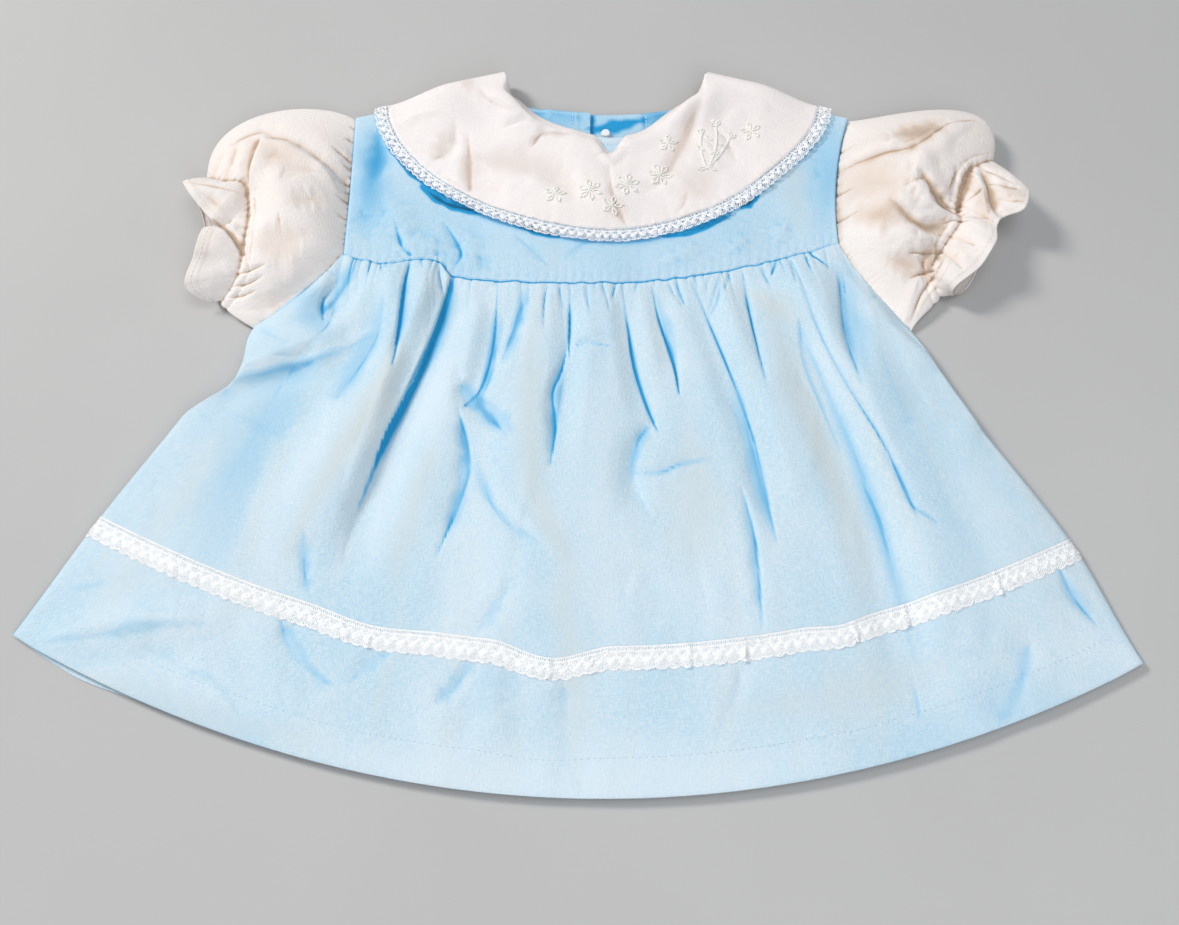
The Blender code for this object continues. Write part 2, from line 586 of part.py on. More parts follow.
def make_back_yoke(name, side, edge_x, material):
    """One half of the back above the seam. The upper half steps over the edge of the lower one."""
    start = ARMHOLES[side]["corner"][0]
    columns = 21
    toward_edge = np.linspace(0.0, 1.0, columns)
    x_seam = start + (edge_x - start) * toward_edge
    upper, lower, shares = [], [], []
    for up in (0.0, 0.25, 0.5, 0.75, 1.0):
        x = x_seam + (1.0 - toward_edge) ** 3 * yoke_side_shift(side, up)
        base_y = seam_y(x_seam, 0.0)
        y = base_y + (yoke_top_y(x, BACK_NECK_DEPTH) - base_y) * up
        step = LAYER * overlap_share(x) if side == "left" else np.zeros(columns)
        under = LAYER + step
        plan = np.stack([x, y], axis=-1)
        upper.append(lifted(plan, under + WALL))
        lower.append(lifted(plan, under))
        shares.append(toward_edge)
    add_panel(name, upper, lower, shares, material)


def superellipse(angle, centre, half, depth, power):
    """Lower half of a superellipse, from its left end at 180 degrees to its right end at 360."""
    cosine = np.cos(angle)
    sine = np.abs(np.sin(angle))
    x = centre[0] + half * np.sign(cosine) * np.abs(cosine) ** (2.0 / power)
    y = centre[1] - depth * sine ** (2.0 / power)
    return np.stack([x, y], axis=-1)


def neck_edge(angle, depth, inset):
    return superellipse(angle, (NECK_X, NECK_Y), NECK_HALF - inset, depth - inset, 2.0)


def collar_edge(angle, depth):
    """Outer edge of the collar, drawn in a little on the wearer's left."""
    edge = superellipse(angle, (COLLAR_X, COLLAR_Y), COLLAR_HALF, depth, COLLAR_FULLNESS)
    edge[..., 0] -= COLLAR_RIGHT_INWARD * bump(angle - COLLAR_RIGHT_AT, COLLAR_RIGHT_REACH)
    return edge


def collar_stations():
    """Round the collar from one back edge over the front to the other: angle, front or back, turn."""
    back = np.linspace(0.46, 0.0, 8) * math.pi
    roll = np.linspace(0.0, 1.0, 6)[1:-1]
    front = np.linspace(0.0, 1.0, 41) * math.pi
    rows = [(math.pi + a, "back", 0.0) for a in back]
    rows += [(math.pi, "left roll", 1.0 - r) for r in roll]
    rows += [(math.pi + a, "front", 0.0) for a in front]
    rows += [(2.0 * math.pi, "right roll", r) for r in roll]
    rows += [(2.0 * math.pi - a, "back", 0.0) for a in back[::-1]]
    return rows


def collar_line(station, places, thickness):
    """Outer and inner points of the cloth at one station round the collar.

    Each place is a share of the way from neck to collar edge, and a distance beyond that edge."""
    angle, kind, turn = station
    share = places[:, 0]
    beyond = places[:, 1]
    back = kind == "back"
    inner = neck_edge(angle, COLLAR_BACK_NECK_DEPTH if back else NECK_DEPTH, 0.0)
    outer = collar_edge(angle, COLLAR_BACK_DEPTH if back else COLLAR_DEPTH)
    if kind == "front":
        toward_centre = np.array([NECK_X, NECK_Y]) - inner
        drawn_in = NECK_INWARD * smooth(abs(math.sin(angle)) * NECK_INWARD_SPREAD)
        inner += toward_centre * drawn_in / np.hypot(*toward_centre)
        inner[1] -= NOTCH_DEPTH * bump(inner[0] - NOTCH_X, NOTCH_HALF)
        inner[0] -= NECK_RIGHT_INWARD * bump(angle - NECK_RIGHT_AT, NECK_RIGHT_REACH)
    outward = (outer - inner) / np.hypot(*(outer - inner))
    plan = inner + (outer - inner) * share[:, None] + outward * beyond[:, None]
    narrowing = smooth((share - COLLAR_ROLL_FULL_TO) / (1.0 - COLLAR_ROLL_FULL_TO))
    radius = COLLAR_ROLL_NECK + (COLLAR_ROLL_EDGE - COLLAR_ROLL_NECK) * narrowing
    if back:
        return lifted(plan, np.zeros(len(places))), lifted(plan, np.full(len(places), thickness))
    if kind == "front":
        from_fold = np.abs(np.sin(angle))
        seat = front_level(plan[:, 0], plan[:, 1]) + LAYER
        lying = seat + COLLAR_FULLNESS_HEIGHT * bump(share - 0.4, 0.6)
        lying += COLLAR_NECK_ROLL * bump(share - COLLAR_NECK_ROLL_AT, COLLAR_NECK_ROLL_REACH)
        rolled = 2.0 * radius - thickness
        under = lying + (rolled - lying) * (1.0 - smooth(from_fold * COLLAR_ROLL_SPREAD))
        stand = COLLAR_STAND * bump(from_fold - COLLAR_STAND_AT, COLLAR_STAND_REACH)
        under += stand * bump(share - COLLAR_NECK_ROLL_AT, COLLAR_STAND_WIDTH)
        under = seat + (under - seat) * smooth(share / 0.08 + 1.0 - smooth(from_fold * 4.0))
        return lifted(plan, under + thickness), lifted(plan, under)
    away = np.array([-outward[1], outward[0]]) * (-1.0 if kind == "left roll" else 1.0)
    around = turn * math.pi
    outer_ring = np.stack([plan[:, 0] + away[0] * radius * math.sin(around),
                           plan[:, 1] + away[1] * radius * math.sin(around),
                           radius * (1.0 + math.cos(around))], axis=-1)
    small = radius - thickness
    inner_ring = np.stack([plan[:, 0] + away[0] * small * math.sin(around),
                           plan[:, 1] + away[1] * small * math.sin(around),
                           radius + small * math.cos(around)], axis=-1)
    return outer_ring, inner_ring


def make_collar_piece(name, places, thickness, material):
    """A strip that follows the neck over both shoulders and lies under the back."""
    places = np.array(places)
    outer, inner, shares = [], [], []
    for station in collar_stations():
        outside, inside = collar_line(station, places, thickness)
        outer.append(outside)
        inner.append(inside)
        shares.append(places.sum(axis=1))
    add_panel(name, outer, inner, shares, material)


def make_neck_binding(material):
    """The narrow strip that finishes the front neckline on its inside."""
    angles = np.linspace(1.18, 1.82, 25) * math.pi
    upper, lower, shares = [], [], []
    for inset in (-NECK_SEAM + 2.0 * GAP, BINDING_WIDTH):
        plan = neck_edge(angles, NECK_DEPTH, inset)
        plan[:, 1] += 0.5 * GAP
        under = front_level(plan[:, 0], plan[:, 1])
        upper.append(lifted(plan, under + WALL))
        lower.append(lifted(plan, under))
        shares.append(angles)
    add_panel("neck_binding", upper, lower, shares, material)


def sleeve_ring_points(side):
    """Each lengthwise line of a sleeve, smoothed round the ring: shares, and the four table points."""
    smoothed = through(SLEEVE_LINES[side], SLEEVE_POINTS_PER_LINE)
    hole_share = np.clip(smoothed[:, 0], 0.0, 1.0)
    front = np.clip(smoothed[:, 1], 0.0, 1.0)
    stations = smoothed[:, 2:].reshape(len(smoothed), 4, 3)
    start = armhole(side, hole_share)
    start[:, 0] += SIDE_SIGN[side] * 1.5 * GAP
    start[:, 1] -= 0.5 * GAP
    low = back_level(start[:, 1])
    high = front_level(start[:, 0], start[:, 1]) + WALL
    start = lifted(start, low + (high - low) * front)
    return front, start, stations


def sleeve_ring(start, stations, along):
    """One ring of a sleeve: along 0 at the armhole, 1 at the elastic, 2 at the ruffle's edge."""
    if along <= 1.0:
        t = along * 3.0
        weights = (-(t - 1.0) * (t - 2.0) * (t - 3.0) / 6.0, t * (t - 2.0) * (t - 3.0) / 2.0,
                   -t * (t - 1.0) * (t - 3.0) / 2.0, t * (t - 1.0) * (t - 2.0) / 6.0)
        points = [start, stations[:, 0], stations[:, 1], stations[:, 2]]
        return sum(weight * point for weight, point in zip(weights, points))
    t = along - 1.0
    flare = stations[:, 2] + (stations[:, 3] - stations[:, 2]) * t
    flare[:, 2] += 1.6 * math.sin(math.pi * t) * smooth((stations[:, 3, 2] - 4.0) / 6.0)
    return flare


def make_sleeve(side, material):
    """A puffed sleeve: a ring of cloth gathered on elastic, with a ruffle beyond it."""
    front, start, stations = sleeve_ring_points(side)
    facing = 2.0 * front - 1.0
    sideways = np.sqrt(1.0 - facing ** 2)
    alongs = list(np.linspace(0.0, 1.0, SLEEVE_RINGS)) + list(np.linspace(1.0, 2.0, RUFFLE_RINGS + 1)[1:])
    count = len(front)
    upper, lower, shares = [], [], []
    for along in alongs:
        ring = sleeve_ring(start, stations, along)
        lowest = np.minimum(ring[:, 2], 0.0)
        ring[:, 2] -= lowest
        if along > 0.0:
            ring[:, 2] = np.maximum(ring[:, 2], 0.0)
        away = ring[:, :2] - ring[:, :2].mean(axis=0)
        away = away / np.hypot(*away.T)[:, None]
        inner = ring.copy()
        inner[:, :2] -= away * (WALL * sideways)[:, None]
        inner[:, 2] -= WALL * facing
        upper.append(ring)
        lower.append(inner)
        shares.append(np.arange(count) / count)
    add_panel(f"sleeve_{side}", upper, lower, shares, material, closed=True)


def make_snap(material):
    """The socket of the snap that closes the back, a low round button."""
    shape = bmesh.new()
    bmesh.ops.create_cone(shape, cap_ends=True, segments=20, radius1=SNAP_RADIUS * MM,
                          radius2=0.8 * SNAP_RADIUS * MM, depth=SNAP_HEIGHT * MM)
    mesh = bpy.data.meshes.new("back_snap")
    shape.to_mesh(mesh)
    shape.free()
    mesh.shade_smooth()
    mesh.set_sharp_from_angle(angle=math.radians(40.0))
    mesh.materials.append(material)
    snap = bpy.data.objects.new("back_snap", mesh)
    seat = LAYER + WALL + GAP
    snap.location = (SNAP_X * MM, SNAP_Y * MM, (seat + 0.5 * SNAP_HEIGHT) * MM)
    bpy.context.scene.collection.objects.link(snap)


def make_dress():
    for old in list(bpy.data.objects):
        bpy.data.objects.remove(old, do_unlink=True)
    blue = new_material("blue_cotton", BLUE, CLOTH_ROUGHNESS)
    ivory = new_material("ivory_cotton", IVORY, CLOTH_ROUGHNESS)
    white = new_material("white_lace", WHITE, CLOTH_ROUGHNESS)
    plastic = new_material("white_plastic", WHITE, SNAP_ROUGHNESS)
    skirt_upper, skirt_shares = make_front_skirt(blue)
    make_hem_lace(skirt_upper, skirt_shares, white)
    make_back_skirt(blue)
    make_front_yoke(skirt_shares[0], blue)
    make_back_yoke("back_yoke_left", "left", BACK_EDGE_UPPER_X, blue)
    make_back_yoke("back_yoke_right", "right", BACK_EDGE_LOWER_X, blue)
    make_collar_piece("collar", [(share, 0.0) for share in COLLAR_ROWS], WALL, ivory)
    make_collar_piece("collar_lace", [(1.0, GAP), (1.0, COLLAR_LACE_WIDTH)], LACE_WALL, white)
    make_neck_binding(blue)
    for side in ("left", "right"):
        make_sleeve(side, ivory)
    make_snap(plastic)


make_dress()
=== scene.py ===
"""A child's short-sleeved dress, laid flat on its back on a pale surface.

Sizes are in millimetres and become metres when a mesh is made. X runs across the dress,
+Y from the hem to the neck, and Z is up.
"""

import math

import bpy
import numpy as np
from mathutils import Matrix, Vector


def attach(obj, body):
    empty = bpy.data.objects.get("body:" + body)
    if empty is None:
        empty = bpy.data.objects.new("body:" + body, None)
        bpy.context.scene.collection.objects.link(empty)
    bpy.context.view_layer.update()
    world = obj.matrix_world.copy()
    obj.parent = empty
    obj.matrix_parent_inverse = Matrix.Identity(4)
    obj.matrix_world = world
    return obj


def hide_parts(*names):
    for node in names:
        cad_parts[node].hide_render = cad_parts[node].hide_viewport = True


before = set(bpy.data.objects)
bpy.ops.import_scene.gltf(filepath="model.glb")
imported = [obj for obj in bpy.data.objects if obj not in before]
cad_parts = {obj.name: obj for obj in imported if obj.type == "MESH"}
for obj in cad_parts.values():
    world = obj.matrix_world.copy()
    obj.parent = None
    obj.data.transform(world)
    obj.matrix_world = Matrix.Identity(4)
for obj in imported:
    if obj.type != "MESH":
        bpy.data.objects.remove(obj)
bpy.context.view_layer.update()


# Camera, light and surface. The photo was taken from the hem side, high up and close.
# The surface is plain and pale. A large soft light stands beyond the neck on the left,
# and weaker ones fill the shadows.
MM = 0.001
CAMERA_PLACE = (0.00567, -0.21056, 0.44231)
CAMERA_TILT = math.radians(22.0)
CAMERA_LENS = 33.59
CAMERA_SENSOR = 36.0
SKY_COLOUR = (0.78, 0.88, 1.0, 1.0)
SKY_STRENGTH = 0.20
FLOOR_HALF = 3.0
FLOOR_DROP = 0.0004
# name, x, y, z in metres, size, power, red, green, blue
LIGHTS = (
    ("key light", -1.50, 0.90, 1.35, 0.50, 34.0, 1.0, 0.985, 0.96),
    ("top light", 0.25, 0.10, 1.60, 1.10, 8.5, 0.97, 0.985, 1.0),
    ("front light", 0.35, -1.10, 0.95, 0.90, 8.0, 0.96, 0.98, 1.0),
)


def linked(made):
    bpy.context.scene.collection.objects.link(made)
    return made


def node_material(name, roughness):
    """A material with a Principled shader, its node tree and the shader."""
    material = bpy.data.materials.new(name)
    material.use_nodes = True
    shader = material.node_tree.nodes["Principled BSDF"]
    shader.inputs["Roughness"].default_value = roughness
    return material, material.node_tree, shader


def noise_value(tree, coordinates, stretch, detail=3.0):
    """Noise over coordinates, stretched by so many cells for each metre along each axis."""
    scaled = tree.nodes.new("ShaderNodeVectorMath")
    scaled.operation = "MULTIPLY"
    scaled.inputs[1].default_value = stretch
    tree.links.new(coordinates, scaled.inputs[0])
    noise = tree.nodes.new("ShaderNodeTexNoise")
    noise.inputs["Scale"].default_value = 1.0
    noise.inputs["Detail"].default_value = detail
    tree.links.new(scaled.outputs[0], noise.inputs["Vector"])
    return noise.outputs[0]


def mixed(tree, share, first, second):
    """A mix of two colours. Each is a socket or three numbers."""
    made = tree.nodes.new("ShaderNodeMix")
    made.data_type = "RGBA"
    tree.links.new(share, made.inputs[0])
    for socket, colour in ((made.inputs[6], first), (made.inputs[7], second)):
        if isinstance(colour, tuple):
            socket.default_value = (*colour, 1.0)
        else:
            tree.links.new(colour, socket)
    return made.outputs[2]


def mottled(name, roughness, cells, first, second):
    """A material that drifts between two colours, with so many patches to the metre."""
    material, tree, shader = node_material(name, roughness)
    place = tree.nodes.new("ShaderNodeTexCoord").outputs["Object"]
    colour = mixed(tree, noise_value(tree, place, (cells, cells, cells)), first, second)
    tree.links.new(colour, shader.inputs["Base Color"])
    return material, tree, shader, place


camera_data = bpy.data.cameras.new("camera")
camera_data.sensor_fit = "HORIZONTAL"
camera_data.sensor_width = CAMERA_SENSOR
camera_data.lens = CAMERA_LENS
camera_data.clip_start = 0.01
camera = linked(bpy.data.objects.new("camera", camera_data))
camera.location = CAMERA_PLACE
camera.rotation_euler = (CAMERA_TILT, 0.0, 0.0)
bpy.context.scene.camera = camera
bpy.context.scene.view_settings.view_transform = "Standard"

for light_name, x, y, z, size, power, *light_colour in LIGHTS:
    light_data = bpy.data.lights.new(light_name, "AREA")
    light_data.size = size
    light_data.energy = power
    light_data.color = light_colour
    light = linked(bpy.data.objects.new(light_name, light_data))
    light.location = (x, y, z)
    light.rotation_euler = (-Vector((x, y, z))).to_track_quat("-Z", "Y").to_euler()

world = bpy.data.worlds.new("studio")
world.use_nodes = True
sky = world.node_tree.nodes["Background"]
sky.inputs["Color"].default_value = SKY_COLOUR
sky.inputs["Strength"].default_value = SKY_STRENGTH
bpy.context.scene.world = world

floor_material = mottled("pale surface", 0.75, 6.0, (0.47, 0.46, 0.45), (0.53, 0.52, 0.51))[0]
floor_corners = [(x * FLOOR_HALF, y * FLOOR_HALF, 0.0) for x, y in ((-1, -1), (1, -1), (1, 1), (-1, 1))]
floor_mesh = bpy.data.meshes.new("surface")
floor_mesh.from_pydata(floor_corners, [], [(0, 1, 2, 3)])
floor_mesh.materials.append(floor_material)
floor = linked(bpy.data.objects.new("surface", floor_mesh))
floor.location.z = -FLOOR_DROP


# Front skirt. One panel of pale blue cotton, gathered by a running thread into the
# yoke seam, with a hem turned up inside. It lies in soft folds that fan out to the hem.
WALL = 1.2
GAP = 0.3
LAYER = WALL + GAP
HEM_HALF = 229.0
HEM_MIDDLE_Y = -171.8
HEM_SAG = 58.0
HEM_TILT = 5.7
LEFT_SIDE_BOW = 1.6
RIGHT_SIDE_BOW = 5.0
SIDE_BOW_AT = 0.66
SIDE_BOW_REACH = 0.36
LEFT_NOTCH_DEPTH = 10.5
LEFT_NOTCH_AT = 0.19
LEFT_NOTCH_LENGTH = 0.13
SEAM_LOW_Y = 54.5
SEAM_LOW_X = -3.0
SEAM_RISE = 20.0
SEAM_REACH = 118.0
SEAM_PUSH = 6.5
SEAM_PUSH_LEFT = -92.0
SEAM_PUSH_RIGHT = -57.0
SEAM_PUSH_EASE = 7.0
SEAM_WANDER = 0.4
SEAM_LINE_X = (-106.0, 120.0)
ARMHOLE_SHARE = 0.125
ARMHOLES = {
    "left": {"tip": (-109.7, 149.0), "corner": (-109.1, 72.3), "underarm": (-147.2, 33.6),
             "upper_bow": 0.4, "lower_bow": 3.7},
    "right": {"tip": (133.1, 148.7), "corner": (122.3, 76.6), "underarm": (151.5, 31.6),
              "upper_bow": 3.3, "lower_bow": 2.0},
}
SIDE_SIGN = {"left": -1.0, "right": 1.0}
BACK_EDGE_UPPER_X = 5.9
BACK_EDGE_LOWER_X = -10.0
BACK_STEP = 7.0
FRONT_EASE = 26.0
LEVEL_RISE_FROM_Y = 30.0
LEVEL_RISE_TO_Y = 52.0
SKIRT_FULLNESS = 2.8
HEM_FULLNESS_SHARE = 0.4
GATHERS = 80
GATHER_HEIGHT = 0.7
GATHER_REACH = 9.0
GATHER_LIFT_REACH = 33.0
SKIRT_FLAT_WIDTH = 520.0
SKIRT_COLUMNS = 561
SKIRT_ROWS = 168
SKIRT_LEAN = -0.0024
TOP_WIDTH_SHARE = 0.55
SIDE_ROLL = 4.0
SIDE_HEIGHT = 1.3
HEM_LOWEST = 1.25
SEAM_DIP = 0.5
SEAM_DIP_REACH = 0.9
# The seam allowance above the top row: how far up it runs, and how far under the yoke it dips
SEAM_ALLOWANCE = ((3.0, 0.9), (0.7, 0.7))
# The turned hem past the last row: its place on the plan, how far down it dips, and its flat length
HEM_TURN = ((-0.25, 0.15, 0.3), (-0.3, 0.5, 0.7), (0.0, 0.85, 1.1), (6.0, 0.9, 6.0))
CLOTH_SEED = 11
# Each piece's small folds: how many, their field's left, right, low and high, their lean and size
SKIRT_SMALL_FOLDS = (90, (-205.0, 205.0, -150.0, 40.0), SKIRT_LEAN, 0.5)

# name, start x, start y, end x, end y, bow, half width left, half width right, height
SKIRT_FOLDS = (
    ("deep pleat ridge", -68, 72, -114, -78, 3, 17, 10, 5.2),
    ("deep pleat crease", -57, 64, -95, -74, -1.5, 4.5, 11, -4.2),
    ("pleat edge", -78.5, 70, -80, 12, 0, 4, 6, -2.6),
    ("corner crease", -101.5, 73, -115.5, 38, 3, 6, 6, -3.6),
    ("corner ridge", -116, 62, -138, 28, 2, 8, 8, 2.6),
    ("left hollow", -88, 50, -107, -6, 2, 9, 9, -2.8),
    ("underarm ridge", -157, 7, -102, 26, 2, 8, 8, 3),
    ("underarm crease", -160, -2, -112, 12, 1, 6, 5, -1.8),
    ("left swell", -135, -18, -178, -112, 0, 26, 26, 2.6),
    ("left corner ridge", -218, -112, -150, -103, 1.5, 7, 7, 1.8),
    ("second crease", -37, 60, -44, -2, 3, 5, 6, -3.2),
    ("cross crease", -50, 6, -31, -19, 0, 6, 6, -2),
    ("lower crease", -47, -12, -54, -70, 4, 7, 8, -2.2),
    ("short crease", -24, 58, -32, 18, 0, 4, 5, -1.6),
    ("middle swell left", -18, 46, -24, -128, 0, 15, 17, 2.6),
    ("centre crease", -3.6, 56, -8.5, -32, 1.5, 4.5, 5.5, -2.2),
    ("middle swell right", 9, 46, 8, -112, 0, 13, 13, 1.8),
    ("right centre crease", 22, 54, 31, -16, -1.5, 5, 5, -2.4),
    ("right centre tail", 32, -16, 29, -58, -7, 6, 6, -1.6),
    ("fine crease", 35.5, 52, 44, 6, 0, 4, 4, -1.5),
    ("long crease", 53.5, 54, 83, -66, 3, 6, 7, -2.4),
    ("long crease ridge", 66, 50, 94, -60, 3, 8, 9, 1.8),
    ("right fine crease", 76, 60, 84, 4, 0, 5, 5, -1.5),
    ("right valley", 99, 36, 137, -140, 6, 11, 9, -3.6),
    ("right valley ridge", 98, 68, 152, -118, 5, 8, 14, 3.8),
    ("right corner crease", 121.5, 76, 124, 6, 0, 6, 6, -2.8),
    ("right underarm ridge", 137, 48, 160, 10, 0, 8, 8, 2.2),
    ("right swell", 168, -10, 188, -112, 0, 20, 20, 2),
    ("hem crease left", -119, -104, -99, -136, 0, 6, 6, -1.6),
    ("hem crease middle", -4, -128, 1.5, -172, 0, 7, 7, -1.4),
    ("hem crease right", 182, -112, 168, -144, 0, 6, 6, -1.2),
)

# Sharper lines in the same cloth. Their half widths lie on the west and east of a path
# that goes down the page, or below and above one that goes to the right. Every later
# table of creases, shades and lifts has these columns too:
# name, half width west, half width east, height, x and y of each point on the way
SKIRT_CREASES = (
    ("deep pleat lip", 6, 1.4, 3.2, -58, 66, -60, 50, -67.4, 23, -73.6, 4, -83, -20, -89.5, -40, -92, -50),
    ("deep pleat line", 0.6, 2.2, -2.6, -56.5, 66, -57.4, 52, -61.5, 37.7, -66.4, 20, -72, 3, -82, -20, -87,
     -36),
    ("deep pleat end", 1.6, 3, -0.7, -78, -12, -84, -26, -89.5, -44, -94, -62, -96.5, -78),
    ("pleat edge line", 0.6, 2.2, -1.9, -77.6, 69, -79.5, 42, -81, 10),
    ("pleat edge lip", 6, 0.9, 0.9, -79.5, 68, -81, 42, -83, 12),
    ("seam fold", 0.8, 1.4, -1.1, -64, 70, -63.5, 60, -61, 48),
    ("corner line", 1.6, 1.8, -2, -101.5, 72, -106, 58, -115.5, 47, -115, 36),
    ("left hollow line", 2, 4, -1, -88, 46, -90, 24, -106, -6),
    ("left cross line", 2.6, 2.8, -0.8, -134, 16, -120, 17, -104, 21),
    ("underarm line", 2.2, 2.2, 1, -152, 4.5, -128, 12, -102, 21),
    ("underarm slope", 3, 3, 0.8, -150, 10, -124, 21, -98, 37),
    ("second line", 0.7, 2.4, -2.1, -36.5, 57, -36.8, 40, -38, 20, -42.5, 2, -49, -6),
    ("cross line", 3.6, 3, -1.3, -53, 12, -50, 1, -40, -9, -31, -21),
    ("lower line", 2.8, 1.2, -1.6, -52, -8, -47.5, -24, -46.5, -38, -50.5, -54, -57, -74),
    ("short line", 1.4, 2.8, -1.5, -23.5, 57, -25, 46, -28, 34, -33, 16),
    ("centre line", 0.5, 1.3, -1.5, -3.6, 55, -3.4, 36, -3.6, 16),
    ("centre line tail", 2.6, 0.9, -1.5, -3.6, 26, -6.5, 10, -10.5, -2, -9, -18, -11, -36),
    ("centre cross line", 1.8, 2, -1, -2, 21.5, 5, 23, 16, 21),
    ("centre cross ridge", 1.8, 2, 0.8, -2, 25.5, 5, 27, 16, 25),
    ("right centre line", 0.6, 1.7, -1.7, 20, 55, 22.5, 36, 25.5, 12, 31, -8, 35, -19),
    ("right centre tail", 3, 2, -1, 34, -14, 26.5, -24, 24, -40, 31, -58),
    ("fine line", 0.6, 1.6, -2, 34, 52, 37.5, 34, 43, 14, 45, -2),
    ("fine short line", 0.7, 1.7, -1.4, 45, 61, 46, 53, 49, 43),
    ("long line", 0.9, 1.4, -1.4, 52, 56, 60, 34, 71, 0, 77, -24),
    ("long line end", 4, 1.1, -1.3, 71, 0, 78, -28, 83.5, -68),
    ("long line branch", 0.8, 1.4, -1, 66, 57, 64, 46, 59, 36),
    ("lower right line", 3.2, 1.2, -1.1, 70, -44, 75, -70, 75.5, -106),
    ("right fine line", 0.8, 1.8, -1.3, 76, 61, 78, 40, 83.5, 4),
    ("valley line", 1.2, 2.8, -1.4, 100, 35, 104, 10, 115, -32),
    ("valley middle", 2.2, 0.9, -1.7, 113, -26, 125, -52, 131, -84, 136, -140),
    ("valley upper line", 1, 2.6, -1.1, 99, 67, 106, 36, 120, 0, 133, -30, 142, -60),
    ("right corner line", 1.2, 2.6, -1.1, 121.8, 74, 120, 52, 120, 30, 125, 2),
    ("right underarm line", 2, 2, -0.9, 136, 48, 145, 34, 158, 16),
    ("short cross line", 2.2, 2.6, -0.9, 26, -38.5, 36, -38.5, 45, -34.5, 59, -32),
    ("hem line left", 1.2, 2.6, -1.1, -121, -98, -117.5, -110, -109, -121, -97, -129),
    ("hem line small", 2.6, 2.8, -0.8, -90, -128, -82, -120, -71, -114),
    ("hem line curl", 2.8, 2.8, -1, -56, -136, -48, -130, -40, -118),
    ("hem line middle", 2.6, 2.2, -1, -5, -127, -3, -146, 2.5, -169),
    ("hem line right", 2.2, 2.2, -0.9, 183, -112, 178, -126, 167, -143),
    ("right edge line", 2, 2, -0.8, 199, -79, 203, -92, 211, -104),
    ("left corner line", 2.2, 3, 0.9, -216, -111, -185, -104, -150, -103),
    ("slanting line", 2.6, 3, -0.8, -42.9, -33.5, -35.2, -54, -24.5, -66.8, -8.9, -79.3),
    ("slanting ridge", 3, 3, 0.7, -38, -30, -30, -50, -20, -62, -4, -74),
    ("low fold", 2.8, 3.6, -0.9, -23, -84, -32.1, -96.6, -40, -108),
    ("lace fold", 2.4, 3, -0.8, -113.2, -66, -112, -81, -109.5, -91.5),
    ("right low fold", 2, 2.6, -0.8, 130, -28, 136.7, -43.5, 140.9, -54.9, 150, -62),
)

# Small tucks that hang from the gathered seam: x and y of each point on the way down
SEAM_TUCKS = (
    (-102, 72, -102.5, 68, -103.5, 60), (-95.7, 72, -95.9, 68, -96.4, 61), (-91.5, 72, -91.3, 68, -90.4, 61),
    (-88.7, 72, -88.4, 67, -88, 62), (-72, 74, -72.4, 69, -71.2, 62),
    (-46.5, 64, -48.9, 59.9, -53.7, 53, -56, 48), (-36, 61, -37, 57, -38.8, 52.5),
    (-31.6, 61, -32.2, 57, -33.8, 51), (-13, 57, -13.9, 52, -15, 43.3, -15.3, 31),
    (-10, 57, -8.8, 52.1, -7.1, 47.2, -6.4, 41), (3.6, 57, 3.9, 52.1, 4.4, 46.2, 6, 38),
    (10.4, 58, 11.5, 53, 13.2, 47.2, 14.8, 39), (18, 58, 17.4, 53, 15.8, 46.5),
    (19.5, 60, 20.8, 55, 22.5, 50.1, 25, 44), (28.4, 60, 27.6, 56, 25.6, 49),
    (44.8, 60, 45.4, 53, 46.6, 47.2, 48, 41.5), (53.6, 61, 54, 57, 55, 49.5),
    (40.8, 61, 41.6, 57, 43.1, 51.1, 47, 43.5), (61, 62, 60.3, 57.9, 58.8, 51),
    (66.8, 62, 65.4, 57.9, 62.5, 49.1, 58, 35), (71.4, 64, 69.7, 58.9, 66, 48.5),
    (84.2, 66, 85.2, 60.9, 88, 53), (92.4, 69, 91.4, 64.9, 88.8, 58),
    (97.6, 70, 98.3, 65.9, 99, 58.9, 99.2, 53), (105.6, 72, 106.1, 67.9, 107, 60),
    (107, 72, 109.6, 68.9, 115.5, 63.5), (114.6, 75, 114.9, 70.9, 115.5, 62),
    (117, 78, 118.6, 73.9, 122, 62.9, 122.4, 50),
)

